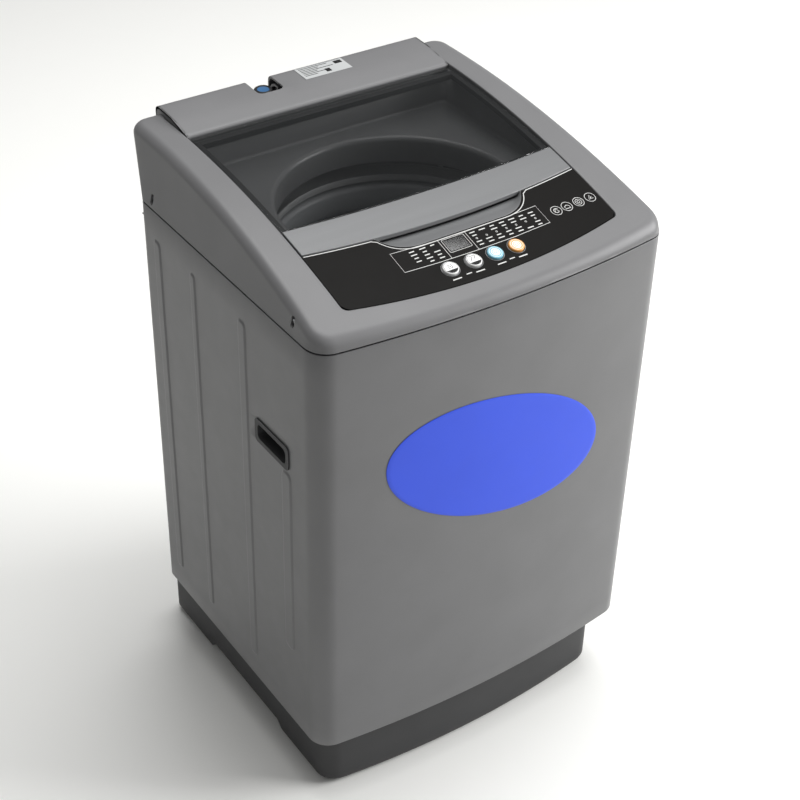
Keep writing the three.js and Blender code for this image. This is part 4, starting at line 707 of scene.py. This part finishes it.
def lid():
    """The window, the grey strip in front of it, the dark frame under both, and the hinge barrel."""
    pane_front = bowed(WINDOW_FRONT_Y, WINDOW_BOW)
    slab("window_pane", -LID_X, LID_X, pane_front, level(LID_REAR_Y), 0, 4, SMOKE, "lid",
         replaces="lid_window", bevel=0.6)
    slab("lid_strip", -LID_X, LID_X, bowed(LID_FRONT_Y, LID_BOW), bowed(WINDOW_FRONT_Y - 0.4, WINDOW_BOW),
         0, 6, SILVER, "lid", replaces="lid_frame", bevel=1.1, segments=3)
    dark = dict(slot=SLOTS["lid_frame"], bevel=0.6)
    inner_x = LID_X - FRAME_WIDTH
    rear = level(FRAME_REAR_Y)
    slab("lid_border_left", -LID_X, -inner_x, pane_front, rear, 4.4, 7.6, LID_DARK, "lid", 3, **dark)
    slab("lid_border_right", inner_x, LID_X, pane_front, rear, 4.4, 7.6, LID_DARK, "lid", 3, **dark)
    slab("lid_border_rear", -inner_x, inner_x, level(FRAME_REAR_Y - FRAME_WIDTH), rear, 4.4, 7.6,
         LID_DARK, "lid", 12, 2, **dark)
    slab("lid_border_front", -inner_x, inner_x, bowed(WINDOW_FRONT_Y - 10, WINDOW_BOW),
         bowed(WINDOW_FRONT_Y + FRAME_WIDTH, WINDOW_BOW), 6.2, 5.8, LID_DARK, "lid", **dark)
    turns = [2 * math.pi * k / 28 for k in range(28)]
    hinge_z = float(crown(HINGE_Y)) - HINGE_DROP
    stations = ((-208, 2.7), (-208, 5), (-207.4, 5.5), (207.4, 5.5), (208, 5), (208, 2.7))
    rings = [[(x, HINGE_Y + r * math.cos(t), hinge_z + r * math.sin(t)) for t in turns] for x, r in stations]
    points, faces = loft(rings)
    build("lid_barrel", points, faces, LID_DARK, "lid", slot=SLOTS["lid_frame"])


lid()


# ---------- Console ----------
BUTTONS = {
    "button_start": (-51, WHITE, "start_button"),
    "button_water_level": (-16, WHITE, "water_level_button"),
    "button_function": (17, BLUE, "function_button"),
    "button_power": (50, ORANGE, "power_button"),
}
SCOOP_X, SCOOP_HALF, SCOOP_FRONT, SCOOP_REAR = 3.0, 120.0, -150.8, -98.8
SCOOP_END_Y = -107.5
SCOOP_DEPTH = 8.5


def scoop_curve(margin, steps=22):
    """The scoop's edge from its left rear end, round the front, to its right rear end."""
    half, front = SCOOP_HALF - margin, SCOOP_FRONT + margin
    left = [(-half, SCOOP_REAR), (-half + 8, front + 14), (-half + 28, front), (-half + 58, front)]
    out = []
    for k in range(steps + 1):
        t = k / steps
        w = ((1 - t) ** 3, 3 * t * (1 - t) ** 2, 3 * t * t * (1 - t), t ** 3)
        out.append(tuple(sum(a * p[i] for a, p in zip(w, left)) for i in (0, 1)))
    out += [(x, front) for x in np.linspace(-half + 58, half - 58, 14)[1:-1]]
    return [(SCOOP_X + x, y) for x, y in out] + [(SCOOP_X - x, y) for x, y in out[:steps + 1][::-1]]


def panel_front(x):
    """The console plate's bowed front edge, turned back at its two corners."""
    corner = max(0.0, (abs(x) - PANEL_X + PANEL_CORNER) / PANEL_CORNER) ** 2
    return PANEL_FRONT_Y - CONSOLE_BOW * (1 - (x / PANEL_X) ** 2) + PANEL_CORNER * corner


def circle(x, y, r, steps=28, start=0.0, sweep=360.0):
    """Points on a circle or an arc, with angles in degrees."""
    ends = np.linspace(start, start + sweep, steps + 1)
    if sweep == 360.0:
        ends = ends[:-1]
    return [(x + r * math.cos(math.radians(t)), y + r * math.sin(math.radians(t))) for t in ends]


def console():
    """The black plate with its finger scoop, four button holes and display opening."""
    obj = slab("console_plate", -PANEL_X, PANEL_X, panel_front, bowed(PANEL_REAR_Y, LID_BOW), PANEL_DROP, 3,
               BLACK, "cabinet", 110, 16, replaces="console_panel", bevel=0.5)
    cut(obj, prism(scoop_curve(0), 700, 900))
    for x, _, _ in BUTTONS.values():
        hole = prism(circle(0, 0, BUTTON_HOLE, 48), -15, 15)
        place = Matrix.Translation(Vector((x, BUTTON_Y, float(crown(BUTTON_Y)))) * MM)
        hole.matrix_world = place @ Matrix.Rotation(SLOPE, 4, "X")
        cut(obj, hole)
    cut(obj, prism(rounded(-33.3, -2.7, -176.3, -156.7, 1.5), 700, 900))
    soften(obj, 40)
    obj.modifiers["edges"].width = 0.35 * MM
    obj.modifiers["edges"].angle_limit = math.radians(50)


console()


def finger_scoop():
    """The silver tray under the lid's front edge, deepening from the plate to the lid."""
    edge = scoop_curve(0.5)
    rows = []
    for t in (0, 0.02, 0.06, 0.12, 0.2, 0.3, 0.42, 0.56, 0.72, 0.88, 1.0):
        row = []
        for x, y in edge:
            rx = SCOOP_X + (x - SCOOP_X) * 0.97
            ry = bowed(SCOOP_END_Y, LID_BOW)(rx)
            px, py = x + (rx - x) * t, y + (max(ry, y + 0.4) - y) * t
            depth = 0.8 + SCOOP_DEPTH * math.sin(math.pi / 2 * t) ** 1.2
            row.append((px, py, float(crown(py)) - depth))
        rows.append(row)
    points = [p for row in rows for p in row]
    obj = build("scoop_tray", points, grid_faces(len(rows), len(edge)), SILVER, "cabinet", "finger_scoop", 60)
    thicken(obj, "wall", 1.6)


finger_scoop()


# ---------- Printed marks ----------
ICON_PLACES = ((138, -169), (156, -168), (176, -167), (196, -166))
BAR_HEIGHT = 1.5


def stroke(line, width, lift=0.12, closed=False, drop=PANEL_DROP):
    """A raised strip along a line in plan, lying on the console's face. Returns points and faces."""
    line = [np.array(p, float) for p in line]
    n = len(line)
    points = []
    for i, p in enumerate(line):
        a = line[(i - 1) % n] if closed or i else p
        b = line[(i + 1) % n] if closed or i < n - 1 else p
        d = b - a
        d = d / (np.linalg.norm(d) or 1)
        side = np.array([-d[1], d[0]]) * width / 2
        for q in (p + side, p - side):
            z = float(crown(q[1])) - drop
            points += [(q[0], q[1], z + lift), (q[0], q[1], z - 0.05)]
    faces = []
    for i in range(n if closed else n - 1):
        a, b = 4 * i, 4 * ((i + 1) % n)
        faces += [(a, a + 2, b + 2, b), (a + 1, a, b, b + 1),
                  (a + 2, a + 3, b + 3, b + 2), (a + 3, a + 1, b + 1, b + 3)]
    if not closed:
        e = 4 * (n - 1)
        faces += [(0, 1, 3, 2), (e, e + 2, e + 3, e + 1)]
    return points, faces


def bar(x, y, w, h):
    """A small solid rectangle, as a wide stroke."""
    return stroke([(x - w / 2, y), (x + w / 2, y)], h)


def round_icons():
    """The four ringed symbols at the console's right end."""
    parts = [stroke(circle(x, y, 7.6), 0.7, closed=True) for x, y in ICON_PLACES]
    parts.append(stroke(circle(138, -169, 3.6, 20, 30, 300), 0.8))
    parts.append(stroke([(135, -171), (138, -166), (141, -171)], 0.8))
    parts.append(stroke(circle(156, -170, 4.0, 16, 0, 180), 0.8))
    parts.append(stroke([(151.5, -171.5), (160.5, -171.5)], 0.8))
    parts += [stroke(circle(176, -167, r, 20), 0.7, closed=True) for r in (2.0, 4.6)]
    parts.append(stroke([(192.5, -169), (196, -162.5), (199.5, -169)], 0.8, closed=True))
    parts.append(bar(196, -167, 1.2, 2.6))
    return parts


def framed_table():
    """The outlined table of bars and dots round the display, and the bars under the buttons."""
    outline = [(-107, -150), (-60, -152.6), (0, -154), (60, -153.4), (117, -151), (117, -183), (60, -186),
               (0, -186.6), (-60, -185.4), (-107, -183)]
    parts = [stroke(outline, 0.7, closed=True)]
    parts.append(stroke([(-38.5, -153.6), (-38.5, -186)], 0.6))
    parts.append(stroke([(2.5, -154), (2.5, -186.6)], 0.6))
    parts.append(stroke(rounded(-34.6, -1.4, -177.6, -155.4, 1.6, 3), 0.6, closed=True))
    for row in range(5):
        y = -157.5 - row * 5.6
        for col, x in enumerate((-80, -64, -49)):
            if (row * 3 + col) % 7 != 5:
                parts.append(bar(x, y, (7.5, 9.0, 6.0)[(row + col) % 3], BAR_HEIGHT))
    for row in range(5):
        y = -158.6 - row * 5.4
        for col in range(7):
            x = 11 + col * 15.4
            if row == 2:
                parts.append(stroke(circle(x, y, 1.2, 10), 0.6, closed=True))
            elif (row * 7 + col) % 9 != 8:
                parts.append(bar(x, y, (8.0, 9.5, 6.5)[(row * 2 + col) % 3], BAR_HEIGHT))
    parts += [bar(x - 1, -216.4, 13, BAR_HEIGHT) for x, _, _ in BUTTONS.values()]
    return parts + [bar(-33, -214.6, 8, 1.3), bar(33, -214.6, 8, 1.3)]


def rear_line():
    """The bright line along the console's rear edge and round the finger scoop."""
    edge = bowed(PANEL_REAR_Y - 1.4, LID_BOW)
    ahead = bowed(PANEL_REAR_Y, LID_BOW)
    scoop = [p for p in scoop_curve(-2.6) if p[1] < ahead(p[0]) - 1.6]
    left = [(x, edge(x)) for x in np.linspace(-207.5, scoop[0][0], 16)]
    right = [(x, edge(x)) for x in np.linspace(scoop[-1][0], 207.5, 14)]
    return [stroke(left[:-1] + scoop + right[1:], 1.1, 0.25)]


def console_marks():
    """Everything printed on the console, as plain shapes in place of words."""
    points, faces = merge(round_icons() + framed_table() + rear_line())
    build("console_marks", points, faces, PRINT, "cabinet", slot=SLOTS["console_panel"], degrees=30)


console_marks()


# ---------- Buttons ----------
FACE = 2.45                          # a button's face above the console's slope


def tilted(points, across):
    """Points about a button's axis, turned to the console's slope and put in place."""
    c, s = math.cos(SLOPE), math.sin(SLOPE)
    top = float(crown(BUTTON_Y))
    return [(across + x, BUTTON_Y + y * c - z * s, top + y * s + z * c) for x, y, z in points]


def disc(radius, low, high, steps=56):
    """A flat round plate with a broken edge."""
    rings = [[(x, y, z) for x, y in circle(0, 0, r, steps)]
             for r, z in ((radius, low), (radius, high - 0.08), (radius - 0.08, high))]
    return loft(rings, cap=True)


def flat_stroke(line, width, z, closed=False):
    """A strip on a button's face, before it is tilted."""
    points, faces = stroke(line, width, closed=closed)
    return [(x, y, z + (0.1 if k % 2 == 0 else -0.05)) for k, (x, y, _) in enumerate(points)], faces


def white_marks(name):
    """A dark segment at the front of a white button, its symbol and its rim line."""
    chord = circle(0, 0, 8.6, 18, 205, 130)
    n = len(chord)
    points = [(x, y, FACE + rise) for rise in (0.1, -0.05) for x, y in chord]
    marks = [(points, [tuple(range(n)), tuple(range(2 * n - 1, n - 1, -1))] + sides(n))]
    if name == "button_start":
        marks.append(flat_stroke([(-2.6, -1), (-2.6, 4), (2.6, 4), (2.6, -1)], 0.9, FACE, True))
        marks.append(flat_stroke([(-1.2, 1.5), (1.2, 1.5)], 0.9, FACE))
    else:
        marks.append(flat_stroke([(-4.5, -1), (-1, 4.5), (1, 1), (4.4, 5.4)], 0.8, FACE))
        marks.append(flat_stroke([(-5, 6.2), (4, 6.2)], 0.7, FACE))
    return marks + [flat_stroke(circle(0, 0, 9.0, 40), 0.45, FACE, True)]


def button(name, x, finish, body):
    """One push button: its cap, the marks on it and the silver bezel round it."""
    profile = [(0.01, -9), (12, -9), (12, -4.2), (10.5, -4.2), (10.5, 1.3), (10.3, 1.9), (9.8, 2.3),
               (9.0, FACE), (0.01, FACE)]
    points, faces = lathe(profile, (0, 0), 64)
    build(name + "_cap", tilted(points, x), faces, finish, body, name, degrees=50)
    if finish is WHITE:
        layers = [("mark", white_marks(name), INK_AND_HOLE_SHADE)]
    else:
        swirl = [flat_stroke(circle(0, 0, 4.4, 24, -50, 290), 0.8, FACE + 0.1),
                 flat_stroke(circle(0, 0, 2.0, 16, 120, 300), 0.8, FACE + 0.1)]
        white = [disc(6.2, FACE - 0.05, FACE + 0.12), flat_stroke(circle(0, 0, 8.2, 40), 0.6, FACE, True)]
        layers = [("mark", swirl, finish), ("ring", white, WHITE)]
    for word, group, ink in layers:
        points, faces = merge(group)
        build(f"{name}_{word}", tilted(points, x), faces, ink, body, slot=SLOTS[name], degrees=30)
    points, faces = flat_stroke(circle(0, 0, 11.9, 48), 0.9, -0.55, True)
    build(name + "_bezel", tilted(points, x), faces, SILVER, "cabinet", slot=SLOTS["console_panel"],
          degrees=40)


for name, (x, finish, body) in BUTTONS.items():
    button(name, x, finish, body)

slab("display_lens", -33, -3, level(-176), level(-157), 0.6, 3, CLEAR, "cabinet", 6, 4,
     replaces="display_window", bevel=0.3)


# ---------- Front decal ----------
DECAL_X, DECAL_Z = -2.0, 540.0
DECAL_HALF_WIDTH, DECAL_HALF_HEIGHT = 180.0, 93.0
DECAL_TILT = math.radians(18)
DECAL_OUT, DECAL_BACK = 0.9, 0.35    # its face and its back, in front of the cabinet


def front_face(x, out):
    """The bowed front at a place across it, standing proud by a distance."""
    radius = (HALF ** 2 + BOW ** 2) / (2 * BOW)
    centre = FRONT_Y + radius
    t = math.asin(x / radius)
    return (radius + out) * math.sin(t), centre - (radius + out) * math.cos(t)


def decal():
    """The tilted oval sheet that lies on the bowed front."""
    rings = []
    for share in (0.001, 0.25, 0.5, 0.75, 0.96, 0.995, 1.0):
        out = DECAL_OUT - (0.25 if share == 1.0 else 0.0)
        ring = []
        for t in np.linspace(0, 2 * math.pi, 145)[:-1]:
            u = DECAL_HALF_WIDTH * share * math.cos(t)
            v = DECAL_HALF_HEIGHT * share * math.sin(t)
            x = DECAL_X + u * math.cos(DECAL_TILT) + v * math.sin(DECAL_TILT)
            z = DECAL_Z - u * math.sin(DECAL_TILT) + v * math.cos(DECAL_TILT)
            ring.append((*front_face(x, out), z))
        rings.append(ring)
    rings.append([(*front_face(x, DECAL_BACK), z) for x, _, z in rings[-1]])
    points, faces = loft(rings)
    build("oval_decal", points, faces, DECAL, "cabinet", "front_decal", 30)


decal()


# ---------- Deck fittings ----------
LABEL_X, LABEL_Y, LABEL_Z = 2.0, 219.0, 877.85
LABEL_SLOPE = 0.035
CAP_X, CAP_Y = -55.0, 239.0
CAP_RIBS = 24


def label_patch(u0, u1, v0, v1, low, high):
    """A thin rectangle on the deck's slope, from the label's front left corner."""
    corners = ((u0, v0), (u1, v0), (u1, v1), (u0, v1))
    points = [(LABEL_X + u, LABEL_Y + v, LABEL_Z + v * LABEL_SLOPE + up)
              for up in (high, low) for u, v in corners]
    return points, [(0, 1, 2, 3), (7, 6, 5, 4)] + [(i, 4 + i, 4 + (i + 1) % 4, (i + 1) % 4) for i in range(4)]


def label_sheet():
    """The rating label with bars and boxes in place of print."""
    build("rating_sheet", *label_patch(0, 76, 0, 32, 0.0, 0.5), LABEL, "cabinet", "rating_label", bevel=0.1)
    lines = ((27, 46), (23, 30), (19, 52), (15, 24), (11, 40), (7, 20))
    marks = [(4, 4 + width, v, v + 1.3) for v, width in lines]
    marks += [(60, 72, 20, 28), (38, 46, 5, 14), (3, 73, 30.4, 31)]
    ink = [label_patch(*mark, 0.45, 0.56) for mark in marks]
    build("rating_sheet_print", *merge(ink), INK_AND_HOLE_SHADE, "cabinet", slot=SLOTS["rating_label"])


def dust_cap():
    """The inlet's cap: a dark ring with grip ribs and a blue disc set in it."""
    ring = [(0.01, 868.6), (7.5, 868.8), (9.0, 869.6), (10.2, 870.9), (11.2, 870.9), (12.6, 869.8),
            (13.7, 866.5), (14, 865.2), (14, 854.6), (13.4, 854), (11.5, 854), (11.5, 867), (0.01, 867)]
    points, faces = lathe(ring, (CAP_X, CAP_Y), 72)
    build("dust_cap_ring", points, faces, DARK, "inlet_dust_cap", "inlet_cap", 40)
    disc_profile = [(0.01, 869.6), (6.4, 869.6), (8.2, 869.9), (8.6, 869.4), (8.7, 868.2)]
    points, faces = lathe(disc_profile, (CAP_X, CAP_Y), 64)
    build("dust_cap_disc", points, faces, CAP, "inlet_dust_cap", slot=SLOTS["inlet_cap"], degrees=40)
    ribs = []
    for k in range(CAP_RIBS):
        t = 2 * math.pi * k / CAP_RIBS
        c, s = math.cos(t), math.sin(t)
        section = ((13.6, -0.7), (14.45, -0.4), (14.45, 0.4), (13.6, 0.7))
        ribs.append(block([(CAP_X + r * c - w * s, CAP_Y + r * s + w * c) for r, w in section], 855.5, 864.5))
    build("dust_cap_grip", *merge(ribs), DARK, "inlet_dust_cap", slot=SLOTS["inlet_cap"], bevel=0.15)


label_sheet()
dust_cap()


# ---------- Drum ----------
BASKET_RADIUS = 191.0
HOLE_ROWS, HOLE_COLUMNS = 9, 40
HOLE_LOW_Z, HOLE_PITCH = 330.0, 40.0


def basket():
    """The steel drum with a dished floor, shallow rolled hoops, and black patches in its wall as painted
    shade where its holes are.
    """
    r = BASKET_RADIUS
    profile = [(11.6, 286), (60, 286.4), (120, 286), (172, 286), (180, 287.2), (186.5, 290.5), (189.8, 296),
               (r, 302)]
    profile += [(r - (0.9 if k % 2 else 0.0), 302 + k * 24.4) for k in range(1, 16)] + [(r, 693.4)]
    points, faces = lathe(profile, (0, TUB_Y), 120)
    obj = build("basket_skin", points, faces, STEEL, "basket", "wash_basket", 50)
    thicken(obj, "sheet", SHEET)
    # Black octagons just inside the wall: painted shade in place of the dark seen through the holes, which
    # are not cut
    octagon = ((1.8, 0), (1.27, 1.27), (0, 1.8), (-1.27, 1.27),
               (-1.8, 0), (-1.27, -1.27), (0, -1.8), (1.27, -1.27))
    holes = []
    for row in range(HOLE_ROWS):
        z = HOLE_LOW_Z + row * HOLE_PITCH
        for col in range(HOLE_COLUMNS):
            t = 2 * math.pi * (col + 0.5 * (row % 2)) / HOLE_COLUMNS
            c, s = math.cos(t), math.sin(t)
            behind_filter = abs(c) < 0.2 and s > 0 and z > 480
            if behind_filter:
                continue
            points = [(d * c - a * s, TUB_Y + d * s + a * c, z + b)
                      for d in (r - 1.1, r - 1.1 - 0.45) for a, b in octagon]
            holes.append((points, [tuple(range(7, -1, -1)), tuple(range(8, 16))] + sides(8)))
    build("basket_hole_shade", *merge(holes), INK_AND_HOLE_SHADE, "basket", slot=SLOTS["wash_basket"])


def tub_rings():
    """The balance ring on the basket and the splash ring on the tub."""
    balance = [(174, 694.2), (192, 694.2), (193.6, 696), (194, 700), (194, 724), (192.5, 729), (188, 732),
               (177, 732.3), (172, 730), (170, 725.5), (170, 702), (171, 697), (174, 694.2)]
    points, faces = lathe(balance, (0, TUB_Y), 128)
    build("balance_ring_skin", points, faces, RING, "basket", "balance_ring", 50)
    splash = [(174, 738.4), (214, 738.4), (217, 739.2), (217, 741.2), (182, 743.2), (178, 746.9),
              (175.2, 747.2), (174, 746), (174, 738.4)]
    points, faces = lathe(splash, (0, TUB_Y), 128)
    build("tub_ring_skin", points, faces, TUB, "suspended_tub", "tub_ring", 50)


basket()
tub_rings()


# ---------- Studio, in metres ----------
FLOOR_HALF = 14.0
KEY_WATTS, TOP_WATTS, FILL_WATTS = 182, 134, 3
SKY_STRENGTH = 0.24
LENS = 75.4426                       # fitted with the camera's place to the photo's corners
SENSOR = 36.0

floor_mesh = bpy.data.meshes.new("floor")
floor_mesh.from_pydata([(x * FLOOR_HALF, y * FLOOR_HALF, 0) for x, y in ((-1, -1), (1, -1), (1, 1), (-1, 1))],
                       [], [(0, 1, 2, 3)])
floor = bpy.data.objects.new("floor", floor_mesh)
bpy.context.scene.collection.objects.link(floor)
floor_mesh.materials.append(FLOOR)


def light(name, place, target, size, power):
    """A square or oblong soft box that faces its target."""
    data = bpy.data.lights.new(name, "AREA")
    data.shape = "RECTANGLE"
    data.size, data.size_y = size
    data.energy = power
    obj = bpy.data.objects.new(name, data)
    bpy.context.scene.collection.objects.link(obj)
    obj.location = place
    obj.rotation_mode = "QUATERNION"
    obj.rotation_quaternion = (Vector(target) - Vector(place)).to_track_quat("-Z", "Y")


light("key", (3.2, -1.9, 2.2), (0, 0, 0.5), (2.2, 2.2), KEY_WATTS)
light("top", (0.6, 0.5, 4.2), (0, 0, 0.8), (3.0, 3.0), TOP_WATTS)
light("fill", (-2.6, -3.6, 1.6), (0, 0, 0.4), (2.0, 1.6), FILL_WATTS)

world = bpy.data.worlds.new("studio")
bpy.context.scene.world = world
world.use_nodes = True
sky = world.node_tree.nodes["Background"]
sky.inputs["Strength"].default_value = SKY_STRENGTH
sky.inputs["Color"].default_value = (1, 1, 1, 1)

camera_data = bpy.data.cameras.new("camera")
camera_data.lens = LENS
camera_data.sensor_width = SENSOR
camera = bpy.data.objects.new("camera", camera_data)
bpy.context.scene.collection.objects.link(camera)
camera.location = (-1.1027, -1.5893, 1.8989)
camera.rotation_euler = (0.9335, -0.0221, -0.5987)
bpy.context.scene.camera = camera
bpy.context.scene.view_settings.view_transform = "Standard"
